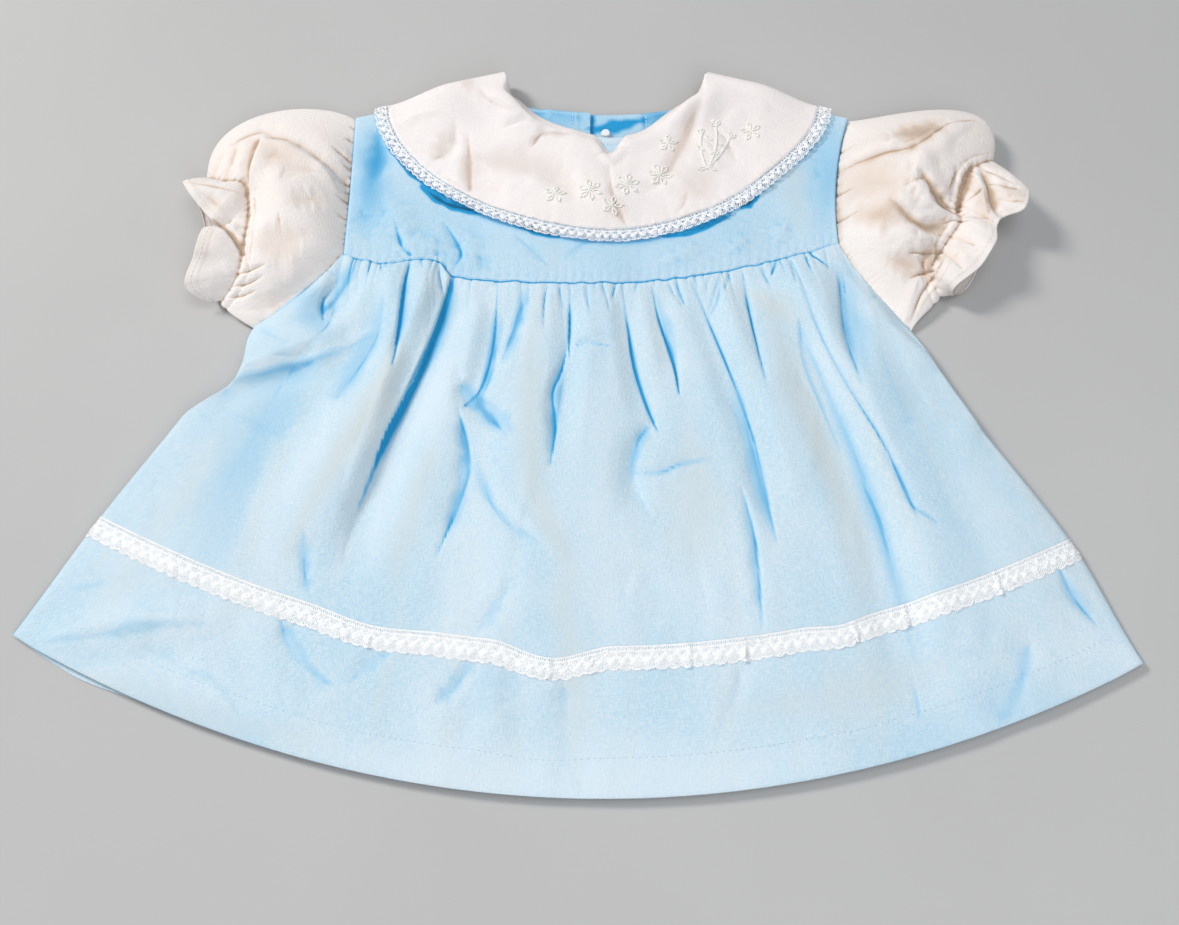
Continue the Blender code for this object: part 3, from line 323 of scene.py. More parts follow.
# Soft painted shade beside the creases, and painted light where the height is below 0
SKIRT_SHADES = (
    ("deep pleat shade", 0.8, 3.4, 0.8, -57.5, 60, -60.5, 44, -67, 22, -77, -6, -87, -32),
    ("deep pleat end shade", 1.6, 3, 0.25, -82, -22, -90, -46, -96, -74),
    ("deep pleat foot", 3.4, 4.4, -0.62, -84, -22, -89, -38, -94, -58, -98, -84),
    ("deep pleat slope", 2.6, 7, -0.75, -56, 26, -63, 4, -74, -22, -82, -46, -86, -78),
    ("corner shade", 3, 1.6, 0.6, -101.5, 70, -106.5, 53, -116, 38),
    ("pleat edge shade", 0.8, 3, 0.35, -78.5, 60, -81, 15),
    ("left hollow shade", 4, 5, 0.35, -88, 44, -95.6, 18.3, -107, -6),
    ("left side shade", 3, 4.5, 0.18, -150, 4, -104, 19),
    ("notch line", 1.5, 2, 0.24, -151.5, 4.5, -136.5, 8, -112.4, 15.9, -90.1, 27.5),
    ("notch line paler", 2, 2.4, -0.4, -150, 9, -136, 12.5, -112, 20.5, -92, 31),
    ("left top shade", 6, 6, 0.25, -128, 58, -112, 24),
    ("second shade", 0.8, 3.8, 0.5, -37.5, 42, -39.8, 19.4, -44, -3),
    ("cross shade", 3.6, 2.4, 0.55, -50, 6, -41.3, -7.6, -31, -20),
    ("lower shade", 3.6, 1.2, 0.55, -50, -13, -47, -26.4, -46, -40),
    ("lower shade tail", 4, 1.6, 0.45, -46, -38, -49, -54.2, -54, -70),
    ("short shade", 2.2, 3.4, 0.5, -24.5, 50, -27.8, 31.9, -32, 14),
    ("centre shade", 4, 1.2, 0.55, -5.5, 14, -10, -34),
    ("right centre shade", 2.2, 0.9, 0.4, 23.5, 34, 27.3, 8.3, 33, -17),
    ("right centre turn shade", 4, 1.8, 0.42, 32, -16, 26.5, -29.7, 23, -44),
    ("fine shade", 0.7, 2.6, 0.4, 35.5, 50, 40.5, 28.2, 44, 6),
    ("long shade", 4, 1, 0.45, 71, -2, 77.8, -33.9, 83, -66),
    ("lower right shade", 3, 1.2, 0.3, 71, -47, 74.5, -75.4, 76, -104),
    ("valley shade", 3.2, 1.8, 0.36, 104, 22, 125.4, -48.9, 137, -122),
    ("valley dark", 0.8, 1.4, 0.5, 99.3, 32.6, 101.5, 13.4, 108, -8.2, 114, -28.1),
    ("right corner shade", 2.5, 7, 0.3, 121, 70, 123, 8),
    ("diagonal shade", 2.6, 2.4, 0.3, -44, -36, -32, -57.7, -12, -72),
    ("middle fine shade", 1, 1, 0.22, 5.9, -14.7, 4.2, -37.3, 3.8, -60.4),
    ("corner low shade", 2.4, 1.8, 0.24, -218, -111.5, -191.4, -108.5, -175.3, -105.2, -150.5, -103.3),
    ("corner high shade", 2.2, 1.6, 0.26, -210.1, -90, -191.7, -86.5, -170.3, -80.8),
    ("low wrinkle", 1.4, 2, 0.2, -158.9, -126.8, -149.8, -124, -140.1, -130.8, -131.9, -141.4),
    ("cross wrinkle", 1.6, 2.2, 0.28, -40.4, -2.3, -31.1, -13.9, -26.9, -23.5),
    ("hem shade left", 1.6, 3, 0.18, -119, -104, -99, -132),
    ("hem shade small", 2, 2, 0.12, -90, -128, -72, -115),
    ("hem shade curl", 2, 2.6, 0.22, -55, -136, -48.8, -126.9, -41, -119),
    ("hem shade right", 2, 2.4, 0.15, 182, -113, 175.9, -128.4, 168, -143),
    ("right edge shade", 3, 3, 0.3, 198, -80, 211, -106),
    ("left side tone", 26, 22, 0.16, -120, 60, -140, -20, -190, -110),
    ("left hem tone", 12, 14, 0.18, -236, -126, -180, -142, -120, -160, -70, -172),
    ("left fold tone", 7, 9, 0.16, -124, 10, -142, -40, -150, -96),
    ("left fold pale", 8, 7, -0.4, -108, -10, -122, -50, -128, -110),
    ("far left pale", 7, 9, -0.35, -160, -30, -180, -70, -196, -110),
    ("right tone", 14, 18, 0.14, 112, 60, 150, -30, 170, -140),
    ("right far pale", 8, 9, -0.3, 150, 10, 170, -50, 190, -110),
    ("right hem tone", 10, 12, 0.16, 90, -160, 150, -148, 236, -120),
    ("middle low tone", 9, 8, 0.14, -36, -66, -34, -120, -40, -160),
    ("hem paler", 10, 12, -0.8, -110, -150, -50, -164, 30, -166, 100, -158),
    ("middle paler", 16, 16, -0.4, -30, -50, -40, -110),
    ("lower middle paler", 14, 14, -0.4, 4, 10, 8, -60, 4, -120),
    ("right worn", 8, 8, -0.35, 88, 30, 96, -60),
    ("low blue fold", 3, 4, 0.3, -23, -84, -32.1, -96.6, -40, -108),
    ("lace blue fold", 2.4, 3, 0.28, -113.2, -66, -112, -81, -109.5, -91.5),
    ("slanting blue fold", 2, 3, 0.2, -42.9, -33.5, -35.2, -54, -24.5, -66.8, -8.9, -79.3),
    ("short cross shade", 1.6, 2, 0.26, 26, -39, 36, -39, 45, -35, 57, -33),
    ("right low fold shade", 1.6, 2.6, 0.22, 130, -28, 136.7, -43.5, 140.9, -54.9, 150, -62),
)

# Bands where the cloth is paler and greyer
PALER_GREYER_BANDS = (
    ("left of the pleat", 4, 5, 0.95, -78, 24, -81, 13, -90, -13, -104, -40, -121, -76),
    ("middle", 5, 5, 0.8, -19, 46, -20, 3, -18, -45, -8, -67, -2, -85, -9, -104),
    ("middle low", 4, 5, 0.7, -4, -96, -2, -120, 2, -168),
    ("below the second crease", 5, 5, 0.6, -62, -26, -65, -38, -71, -64, -75, -92),
    ("right of the long crease", 6, 6, 0.9, 88, 40, 97, 5.5, 105.5, -25, 114, -52, 120, -92),
    ("right centre", 9, 8, 0.6, 47, -16, 51, -48, 45, -86),
    ("right top", 4, 5, 0.8, 72, 51, 88, 44, 102, 33),
    ("left edge", 7, 7, 0.5, -150, -20, -172, -60, -196, -104),
    ("hem left", 6, 6, 0.6, -196, -124, -150, -142, -100, -150),
    ("hem right", 7, 7, 0.5, 60, -140, 110, -132, 150, -120),
    ("yoke right", 7, 7, 0.7, 112, 140, 104, 110, 106, 84),
)


def smooth(value):
    """Ease from 0 to 1 with level ends."""
    value = np.clip(value, 0.0, 1.0)
    return value * value * (3.0 - 2.0 * value)


def bump(distance, half_width):
    """A soft hump, 1 in its middle and 0 past its half width."""
    return smooth(1.0 - np.abs(distance) / half_width)


def rolled(distance, reach):
    """A rounded edge, 0 on the edge and 1 past its reach."""
    return np.sqrt(np.clip(1.0 - (1.0 - np.clip(distance / reach, 0.0, 1.0)) ** 2, 0.0, 1.0))


def with_height(plan, height):
    return np.concatenate([plan, height[..., None]], axis=-1)


def bowed(start, end, bow, share):
    """Points along a line that bows to its left by `bow` at the middle."""
    start = np.asarray(start, float)
    along = np.asarray(end, float) - start
    left = np.array([-along[1], along[0]]) / np.hypot(*along)
    share = np.asarray(share, float)[..., None]
    return start + along * share + left * (4.0 * bow * share * (1.0 - share))


def spline(before, start, end, after, t):
    """A smooth curve from start to end, which comes from before and goes on to after."""
    return 0.5 * (2.0 * start + (end - before) * t + (2.0 * before - 5.0 * start + 4.0 * end - after) * t ** 2
                  + (3.0 * start - before - 3.0 * end + after) * t ** 3)


def seam_y(x, push):
    """Place on the plan of the seam between yoke and skirt, pushed up by `push` at the deep pleat."""
    curve = SEAM_LOW_Y + SEAM_RISE * ((x - SEAM_LOW_X) / SEAM_REACH) ** 2
    from_left = smooth((x - SEAM_PUSH_LEFT) / (3.0 * SEAM_PUSH_EASE))
    from_right = smooth((SEAM_PUSH_RIGHT - x) / SEAM_PUSH_EASE)
    wander = SEAM_WANDER * np.sin(x / 1.9 + 1.6 * np.sin(x / 7.3)) * np.sin(x / 11.0 + 0.8)
    return curve + push * from_left * from_right + wander


def corner_share(side):
    """Where on the armhole seam the yoke ends and the skirt starts."""
    hole = ARMHOLES[side]
    upper = math.dist(hole["tip"], hole["corner"])
    return upper / (upper + math.dist(hole["corner"], hole["underarm"]))


def armhole(side, share):
    """Plan points on the armhole seam, from the shoulder tip at 0 to the underarm at 1."""
    hole = ARMHOLES[side]
    share = np.asarray(share, float)
    split = corner_share(side)
    inward = -SIDE_SIGN[side]
    above = bowed(hole["tip"], hole["corner"], inward * hole["upper_bow"], np.minimum(share / split, 1.0))
    below_share = np.clip((share - split) / (1.0 - split), 0.0, 1.0)
    below = bowed(hole["corner"], hole["underarm"], inward * hole["lower_bow"], below_share)
    return np.where((share < split)[..., None], above, below)


def level_rise(y):
    """How far the cloth has risen over the yoke and the back of the collar, from 0 to 1."""
    return smooth((y - LEVEL_RISE_FROM_Y) / (LEVEL_RISE_TO_Y - LEVEL_RISE_FROM_Y))


def front_level(plan):
    """Lowest height of the front cloth, which swells gently over the overlap of the back edges."""
    rise = level_rise(plan[..., 1])
    left = smooth((plan[..., 0] - BACK_EDGE_LOWER_X + 1.5 * BACK_STEP + FRONT_EASE) / FRONT_EASE)
    right = smooth((BACK_EDGE_UPPER_X + GAP + FRONT_EASE - plan[..., 0]) / FRONT_EASE)
    return LAYER * (1.0 + rise + rise * left * right)


def fold_height(plan):
    """Height that the skirt's folds add at each plan point."""
    total = np.zeros(plan.shape[:-1])
    for _, x0, y0, x1, y1, bow, half_left, half_right, height in SKIRT_FOLDS:
        along = np.array([x1 - x0, y1 - y0])
        length = np.hypot(*along)
        x = plan[..., 0] - x0
        y = plan[..., 1] - y0
        share = (x * along[0] + y * along[1]) / length ** 2
        inside = np.clip(share, 0.0, 1.0)
        offset = (y * along[0] - x * along[1]) / length - 4.0 * bow * inside * (1.0 - inside)
        past_end = (share - inside) * length
        half = np.where(offset < 0.0, half_left, half_right)
        reach = np.hypot(offset / half, past_end / (0.5 * (half_left + half_right)))
        ends = np.minimum(smooth(4.0 * inside + 0.35), smooth(3.0 * (1.0 - inside) + 0.25))
        total += height * smooth(1.0 - reach / 2.0) * ends
    return total


def crease_height(points, creases):
    """Height that a table of creases adds. Each follows a smooth path and fades toward both its ends."""
    total = np.zeros(points.shape[:-1])
    for _, half_right, half_left, height, *path in creases:
        knots = np.reshape(path, (-1, 2))
        padded = np.concatenate([2.0 * knots[:1] - knots[1:2], knots, 2.0 * knots[-1:] - knots[-2:-1]])
        steps = max(2, 16 // len(knots))
        t = (np.arange(1, steps + 1) / steps)[:, None]
        line = np.concatenate([knots[:1]] + [spline(*padded[k:k + 4], t) for k in range(len(knots) - 1)])
        margin = 2.2 * max(half_right, half_left)
        plan = points[..., :2]
        near = np.all((plan > line.min(axis=0) - margin) & (plan < line.max(axis=0) + margin), axis=-1)
        px, py = plan[near].T
        nearest = np.full(px.shape, np.inf)
        side = np.ones(px.shape)
        share = np.zeros(px.shape)
        for k, (start, end) in enumerate(zip(line[:-1], line[1:])):
            ax, ay = end - start
            across = np.clip(((px - start[0]) * ax + (py - start[1]) * ay) / (ax * ax + ay * ay), 0.0, 1.0)
            dx = px - start[0] - across * ax
            dy = py - start[1] - across * ay
            gap = dx * dx + dy * dy
            closer = gap < nearest
            nearest = np.where(closer, gap, nearest)
            side = np.where(closer, ax * dy - ay * dx, side)
            share = np.where(closer, (k + across) / (len(line) - 1), share)
        swell = np.sin(math.pi * (0.04 + 0.92 * share)) ** 0.6
        uneven = 1.0 + 0.2 * np.sin(8.0 * share + knots[0, 0]) + 0.12 * np.sin(21.0 * share + knots[0, 1])
        half = np.where(side < 0.0, half_right, half_left) * (0.4 + 0.65 * swell) * uneven
        peak = np.clip(1.0 - np.sqrt(nearest) / (2.0 * half), 0.0, 1.0)
        sharp = np.clip(1.6 - 0.5 * half, 0.0, 1.0)
        total[near] += height * (sharp * peak ** 2 + (1.0 - sharp) * smooth(peak)) * swell
    return total


def skirt_top_edge(across, gap, push):
    """Upper edge of a skirt panel: left armhole, yoke seam, right armhole."""
    left_corner = corner_share("left")
    right_corner = corner_share("right")
    left_share = 1.0 - (1.0 - left_corner) * across / ARMHOLE_SHARE
    left = armhole("left", np.clip(left_share, left_corner, 1.0))
    right_part = np.clip((across - 1.0 + ARMHOLE_SHARE) / ARMHOLE_SHARE, 0.0, 1.0)
    right = armhole("right", right_corner + (1.0 - right_corner) * right_part)
    seam_part = np.clip((across - ARMHOLE_SHARE) / (1.0 - 2.0 * ARMHOLE_SHARE), 0.0, 1.0)
    left_x = ARMHOLES["left"]["corner"][0]
    seam_x = left_x + (ARMHOLES["right"]["corner"][0] - left_x) * seam_part
    seam = np.stack([seam_x, seam_y(seam_x, push)], axis=-1)
    edge = np.where((across < ARMHOLE_SHARE)[..., None], left, seam)
    edge = np.where((across > 1.0 - ARMHOLE_SHARE)[..., None], right, edge)
    edge[..., 1] -= gap
    return edge


def hem_edge(across):
    share = 2.0 * across - 1.0
    return np.stack([HEM_HALF * share, HEM_MIDDLE_Y - HEM_TILT * share + HEM_SAG * share ** 2], axis=-1)


def skirt_plan(across, down, push):
    """Plan point of a skirt panel: across 0 to 1 from its left side, down 0 to 1 from its top."""
    ends = np.array([0.0, 1.0])
    top = skirt_top_edge(ends, GAP, push)
    hem = hem_edge(ends)
    left = bowed(top[0], hem[0], 0.0, down)
    right = bowed(top[1], hem[1], 0.0, down)
    outward = bump(down - SIDE_BOW_AT, SIDE_BOW_REACH)
    notch = smooth(down / LEFT_NOTCH_AT) * smooth(1.0 - (down - LEFT_NOTCH_AT) / LEFT_NOTCH_LENGTH)
    left[..., 0] += LEFT_NOTCH_DEPTH * notch - LEFT_SIDE_BOW * outward
    right[..., 0] += RIGHT_SIDE_BOW * outward
    a = across[..., None]
    d = down[..., None]
    ruled = (1.0 - d) * ((1.0 - a) * top[0] + a * top[1]) + d * ((1.0 - a) * hem[0] + a * hem[1])
    return ((1.0 - d) * skirt_top_edge(across, GAP, push) + d * hem_edge(across)
            + (1.0 - a) * left + a * right - ruled)


def skirt_length(across):
    """Straight length of each fold line of the front skirt, from its top to its hem."""
    return np.linalg.norm(skirt_top_edge(across, GAP, SEAM_PUSH) - hem_edge(across), axis=-1)


def from_side(across, down):
    """Distance of a point of the skirt from its nearer side."""
    width = 2.0 * HEM_HALF * (TOP_WIDTH_SHARE + (1.0 - TOP_WIDTH_SHARE) * down)
    return np.minimum(across, 1.0 - across) * width


def between_armholes(across):
    """1 on the gathered seam and 0 on the armholes."""
    return smooth((across - ARMHOLE_SHARE) / 0.01) * smooth((1.0 - ARMHOLE_SHARE - across) / 0.01)


def small_folds(chance, count, field, lean, size):
    """Rows of soft, shallow folds at seeded places in a field, which lie along the cloth's own fold lines."""
    left, right, low, high = field
    rows = []
    for _ in range(count):
        place = np.array([chance.uniform(left, right), chance.uniform(low, high)])
        turn = math.atan2(-1.0, lean * place[0]) + chance.normal(0.0, 0.3)
        reach = chance.uniform(14.0, 46.0)
        half = chance.uniform(1.6, 6.5)
        rise = chance.choice((-1.0, 1.0)) * chance.uniform(0.35, 1.0) * size * half / 4.0
        path = [place]
        for _ in range(3):
            path.append(path[-1] + reach / 3.0 * np.array([math.cos(turn), math.sin(turn)]))
            turn += chance.normal(0.0, 0.25)
        rows.append(("small fold", half * chance.uniform(0.4, 1.6), half, rise, *np.ravel(path)))
    return tuple(rows)


def gathered(share, distance, count, fade, chance):
    """Ripples from a gathered edge: small sharp tucks at the seam, of which few run far."""
    knots = np.linspace(0.0, 1.0, count + 1)
    slip = np.interp(share, knots, chance.normal(0.0, 0.3, count + 1))
    size = np.interp(share, knots, chance.uniform(0.0, 1.2, count + 1))
    lasting = np.interp(share, knots, 0.35 + 2.2 * chance.uniform(0.0, 1.0, count + 1) ** 4)
    wide = np.interp(share, knots[::4], chance.uniform(-1.0, 1.0, len(knots[::4])))
    phase = math.pi * (count * share + slip)
    fine = size * np.exp(-distance / (fade * lasting)) * (1.6 * np.sqrt(np.abs(np.cos(phase))) - 1.25)
    broad = 0.4 * np.exp(-distance / (3.4 * fade)) * np.cos(0.31 * phase + 3.0 * wide)
    return fine + broad * smooth(distance / 6.0)


def skirt_surface(across, distance, creases):
    """Points on the outside of the front skirt, `distance` down from its top edge."""
    plan = skirt_plan(across, distance / skirt_length(across), SEAM_PUSH)
    x = plan[..., 0]
    above_hem = plan[..., 1] - hem_edge(0.5 + 0.5 * x / HEM_HALF)[..., 1]
    fullness = SKIRT_FULLNESS * smooth((distance + 8.0) / 40.0) * smooth((HEM_HALF - np.abs(x)) / 90.0 + 0.25)
    fullness *= HEM_FULLNESS_SHARE + (1.0 - HEM_FULLNESS_SHARE) * smooth(above_hem / 80.0)
    raised_by = fullness + fold_height(plan) * smooth((distance + 6.0) / 18.0)
    raised_by += crease_height(plan, creases) * smooth((distance + 3.0) / 6.0)
    raised_by = 0.5 * (raised_by + np.sqrt(raised_by ** 2 + 0.3))
    ripples = gathered(across, distance, GATHERS, GATHER_REACH, np.random.default_rng(CLOTH_SEED))
    ripples += 1.3 * np.exp(-distance / GATHER_LIFT_REACH)
    raised_by += GATHER_HEIGHT * ripples * between_armholes(across)
    return with_height(plan, front_level(plan) + WALL + raised_by)


def mean_height(height, rows, columns):
    """Mean height of the points around each point of a grid."""
    tall = 2 * rows + 1
    wide = 2 * columns + 1
    padded = np.pad(height, ((rows, rows), (columns, columns)), mode="edge")
    sums = np.pad(padded, ((1, 0), (1, 0))).cumsum(axis=0).cumsum(axis=1)
    whole = sums[tall:, wide:] - sums[:-tall, wide:] - sums[tall:, :-wide] + sums[:-tall, :-wide]
    return whole / (tall * wide)


def hollows(points):
    """How deep each point of a grid lies under what is around it, from 0 to 1, which sets its painted shade.
    """
    spacing = [float(np.median(np.linalg.norm(np.diff(points, axis=axis), axis=-1))) for axis in (0, 1)]
    depth = np.zeros(points.shape[:2])
    for reach, full in ((4.5, 2.6), (1.3, 0.5)):
        rows, columns = (max(1, round(reach / step)) for step in spacing)
        depth = np.maximum(depth, (mean_height(points[..., 2], rows, columns) - points[..., 2]) / full)
    return np.clip(depth, 0.0, 1.0)


def grid_quads(rows, columns):
    index = np.arange(rows * columns).reshape(rows, columns)
    return np.stack([index[:-1, :-1], index[1:, :-1], index[1:, 1:], index[:-1, 1:]], axis=-1)


def dress_piece(name, corners, quads, material):
    """A smooth mesh from corners in millimetres, which rides on the dress."""
    mesh = bpy.data.meshes.new(name)
    mesh.from_pydata((corners * MM).tolist(), [], quads.tolist())
    mesh.shade_smooth()
    mesh.materials.append(material)
    piece = linked(bpy.data.objects.new(name, mesh))
    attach(piece, "root")
    return piece


def cloth_sheet(name, points, flat, material, shades=(), worn=()):
    """A sheet of cloth from a grid of points, with its flat cloth coordinates."""
    quads = grid_quads(*points.shape[:2]).reshape(-1, 4)
    piece = dress_piece(name, points.reshape(-1, 3), quads, material)
    layer = piece.data.uv_layers.new(name="cloth")
    layer.data.foreach_set("uv", (flat.reshape(-1, 2) * MM)[quads.ravel()].ravel())
    # Painted shade in hollows and from the shade tables, with painted light below 0; and paler, greyer bands
    depth = hollows(points) + crease_height(points, shades)
    for layer_name, values in (("hollow", depth), ("worn", crease_height(points, worn))):
        attribute = piece.data.attributes.new(layer_name, "FLOAT", "POINT")
        attribute.data.foreach_set("value", values.ravel().astype(np.float32))
    return piece


def raised(tree, shader, height, distance, strength=1.0):
    """Turns a height into fine relief on a shader."""
    relief = tree.nodes.new("ShaderNodeBump")
    relief.inputs["Strength"].default_value = strength
    relief.inputs["Distance"].default_value = distance
    tree.links.new(height, relief.inputs["Height"])
    tree.links.new(relief.outputs[0], shader.inputs["Normal"])


def over(tree, colour, value, low, high, most, upper):
    """Lays a colour over another, from none of it where a value is low to the most where it is high."""
    share = tree.nodes.new("ShaderNodeMapRange")
    for name, number in (("From Min", low), ("From Max", high), ("To Min", 0.0), ("To Max", most)):
        share.inputs[name].default_value = number
    tree.links.new(value, share.inputs["Value"])
    return mixed(tree, share.outputs[0], colour, upper)


def plain_weave(name, pale, full, worn, shade_colour, painted_hollow_shade):
    """Fine plain-weave cotton: uneven threads both ways, soft patches of wear, and painted shade in hollows.
    """
    material, tree, shader = node_material(name, 0.88)
    uv = tree.nodes.new("ShaderNodeUVMap")
    uv.uv_map = "cloth"
    threads = tree.nodes.new("ShaderNodeMath")
    for socket, stretch in zip(threads.inputs, ((1400.0, 330.0, 1.0), (330.0, 1400.0, 1.0))):
        tree.links.new(noise_value(tree, uv.outputs[0], stretch), socket)
    colour = pale
    # cells to the metre each way, detail, the noise where a patch starts and is full, its most, its colour
    for stretch, detail, low, high, most, upper in (
            ((14.0, 9.0, 1.0), 3.0, 0.36, 0.66, 1.0, full),
            ((62.0, 6.0, 1.0), 4.0, 0.48, 0.72, 0.8, worn),
            ((75.0, 50.0, 1.0), 4.0, 0.44, 0.68, 0.4, full),
            ((900.0, 900.0, 1.0), 3.0, 0.35, 0.65, 0.55, full)):
        colour = over(tree, colour, noise_value(tree, uv.outputs[0], stretch, detail), low, high, most, upper)
    colour = over(tree, colour, threads.outputs[0], 0.85, 1.2, 0.6, pale)
    painted_darkest_shade = tuple(0.3 * value for value in painted_hollow_shade)
    # hollow paints light below 0 and shade above it, darkest in creases; worn adds paler, greyer bands
    # attribute, its values where the colour starts and is full, its most, its colour
    for attribute, low, high, most, upper in (
            ("worn", 0.0, 1.0, 0.9, worn),
            ("hollow", 0.0, -1.0, 0.85, pale),
            ("hollow", 0.06, 0.6, 1.0, shade_colour),
            ("hollow", 0.45, 1.0, 0.95, painted_hollow_shade),
            ("hollow", 2.0, 3.2, 0.85, painted_darkest_shade)):
        depth = tree.nodes.new("ShaderNodeAttribute")
        depth.attribute_name = attribute
        colour = over(tree, colour, depth.outputs["Fac"], low, high, most, upper)
    tree.links.new(colour, shader.inputs["Base Color"])
    shader.inputs["Specular IOR Level"].default_value = 0.25
    shader.inputs["Sheen Weight"].default_value = 0.12
    shader.inputs["Sheen Roughness"].default_value = 0.5
    raised(tree, shader, threads.outputs[0], distance=0.00028, strength=0.8)
    return material


# The last two colours are painted shade: a soft one, and a deep one for creases
blue_cloth = plain_weave("pale blue cotton", (0.71, 0.80, 0.855), (0.45, 0.66, 0.79), (0.62, 0.68, 0.69),
                         (0.27, 0.56, 0.78), (0.0, 0.29, 0.60))
skirt_chance = np.random.default_rng(CLOTH_SEED)
seam_tucks = tuple(("seam tuck", skirt_chance.uniform(0.45, 0.9), skirt_chance.uniform(0.9, 1.7),
                    -skirt_chance.uniform(0.8, 1.5), *path) for path in SEAM_TUCKS)
placed_creases = SKIRT_CREASES + seam_tucks
skirt_creases = placed_creases + small_folds(skirt_chance, *SKIRT_SMALL_FOLDS)
# Painted shade: a thin dark line along the gathered seam, and along each sharper crease
seam_line_x = np.linspace(*SEAM_LINE_X, 120)
seam_line = np.stack([seam_line_x, seam_y(seam_line_x, SEAM_PUSH) - GAP], axis=-1)
skirt_shades = SKIRT_SHADES + (("seam line", 0.45, 0.5, 1.7, *np.ravel(seam_line)),)
skirt_shades += tuple(("crease line", 0.45, 0.6, -0.42 * height, *path)
                      for _, west, _, height, *path in placed_creases if west < 1.0 and height < -1.2)
row_share = np.linspace(0.0, 1.0, SKIRT_ROWS)
row_share = (row_share + 0.35 * row_share ** 2) / 1.35
across, down = np.meshgrid(np.linspace(0.0, 1.0, SKIRT_COLUMNS), row_share)
distance = down * skirt_length(across)
side_distance = from_side(across, down)
side_roll = rolled(side_distance, SIDE_ROLL)
skirt_points = skirt_surface(across, distance, skirt_creases)
skirt_points[..., 2] -= SEAM_DIP * np.exp(-distance / SEAM_DIP_REACH)
skirt_points[..., 2] = SIDE_HEIGHT + (skirt_points[..., 2] - SIDE_HEIGHT) * side_roll
# Two rows of seam allowance go before the first row, and four of the turned hem after the last
row_of = np.concatenate([[0] * len(SEAM_ALLOWANCE), np.arange(SKIRT_ROWS), [SKIRT_ROWS - 1] * len(HEM_TURN)])
skirt_points = skirt_points[row_of]
skirt_flat = np.stack([across * SKIRT_FLAT_WIDTH, distance], axis=-1)[row_of]
for row, (up, dip) in enumerate(SEAM_ALLOWANCE):
    skirt_points[row, :, 1] += up
    skirt_points[row, :, 2] -= dip * side_roll[0]
    skirt_flat[row, :, 1] -= up
for row, (up, dip, turned) in enumerate(HEM_TURN, -len(HEM_TURN)):
    skirt_points[row, :, 1] += up * smooth(side_distance[-1] / 14.0)
    skirt_points[row, :, 2] = np.maximum(skirt_points[row, :, 2] - dip, HEM_LOWEST)
    skirt_flat[row, :, 1] += turned
front_skirt = cloth_sheet("front_skirt_cloth", skirt_points, skirt_flat, blue_cloth,
                          skirt_shades, PALER_GREYER_BANDS)
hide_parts("front_skirt")


# Back skirt. The same cloth behind, joined to the front at both side seams. It lies flat
# on the surface, with the same gathers and small creases pressed into it.
BACK_HEM_PEEK = 2.6
BACK_HEM_PEEK_X = -200.0
BACK_HEM_PEEK_LENGTH = 34.0
BACK_SHEET_Z = 0.12
BACK_SIDE_ROLL = 2.0
BACK_COLUMNS = 301
BACK_ROWS = 131
BACK_RELIEF_MOST = 0.95
BACK_SMALL_FOLDS = (70, (-205.0, 205.0, -150.0, 45.0), SKIRT_LEAN, 0.5)
back_chance = np.random.default_rng(CLOTH_SEED + 1)
back_folds = small_folds(back_chance, *BACK_SMALL_FOLDS)
across, down = np.meshgrid(np.linspace(0.0, 1.0, BACK_COLUMNS), np.linspace(0.0, 1.0, BACK_ROWS))
distance = down * skirt_length(across)
back_plan = skirt_plan(across, down, 0.0)
peek = BACK_HEM_PEEK * bump(back_plan[..., 0] - BACK_HEM_PEEK_X, BACK_HEM_PEEK_LENGTH)
back_plan[..., 1] -= peek * smooth((down - 0.7) / 0.3)
back_ripples = gathered(across, distance, GATHERS, GATHER_REACH, back_chance)
back_relief = np.abs(crease_height(back_plan, back_folds))
back_relief += 0.3 * between_armholes(across) * (back_ripples + 1.25 * np.exp(-distance / GATHER_REACH))
back_z = LAYER * level_rise(back_plan[..., 1]) + BACK_SHEET_Z + np.clip(back_relief, 0.0, BACK_RELIEF_MOST)
back_z = SIDE_HEIGHT + (back_z - SIDE_HEIGHT) * rolled(from_side(across, down), BACK_SIDE_ROLL)
back_flat = np.stack([across * SKIRT_FLAT_WIDTH, distance], axis=-1)
back_skirt = cloth_sheet("back_skirt_cloth", with_height(back_plan, back_z), back_flat, blue_cloth)
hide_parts("back_skirt")


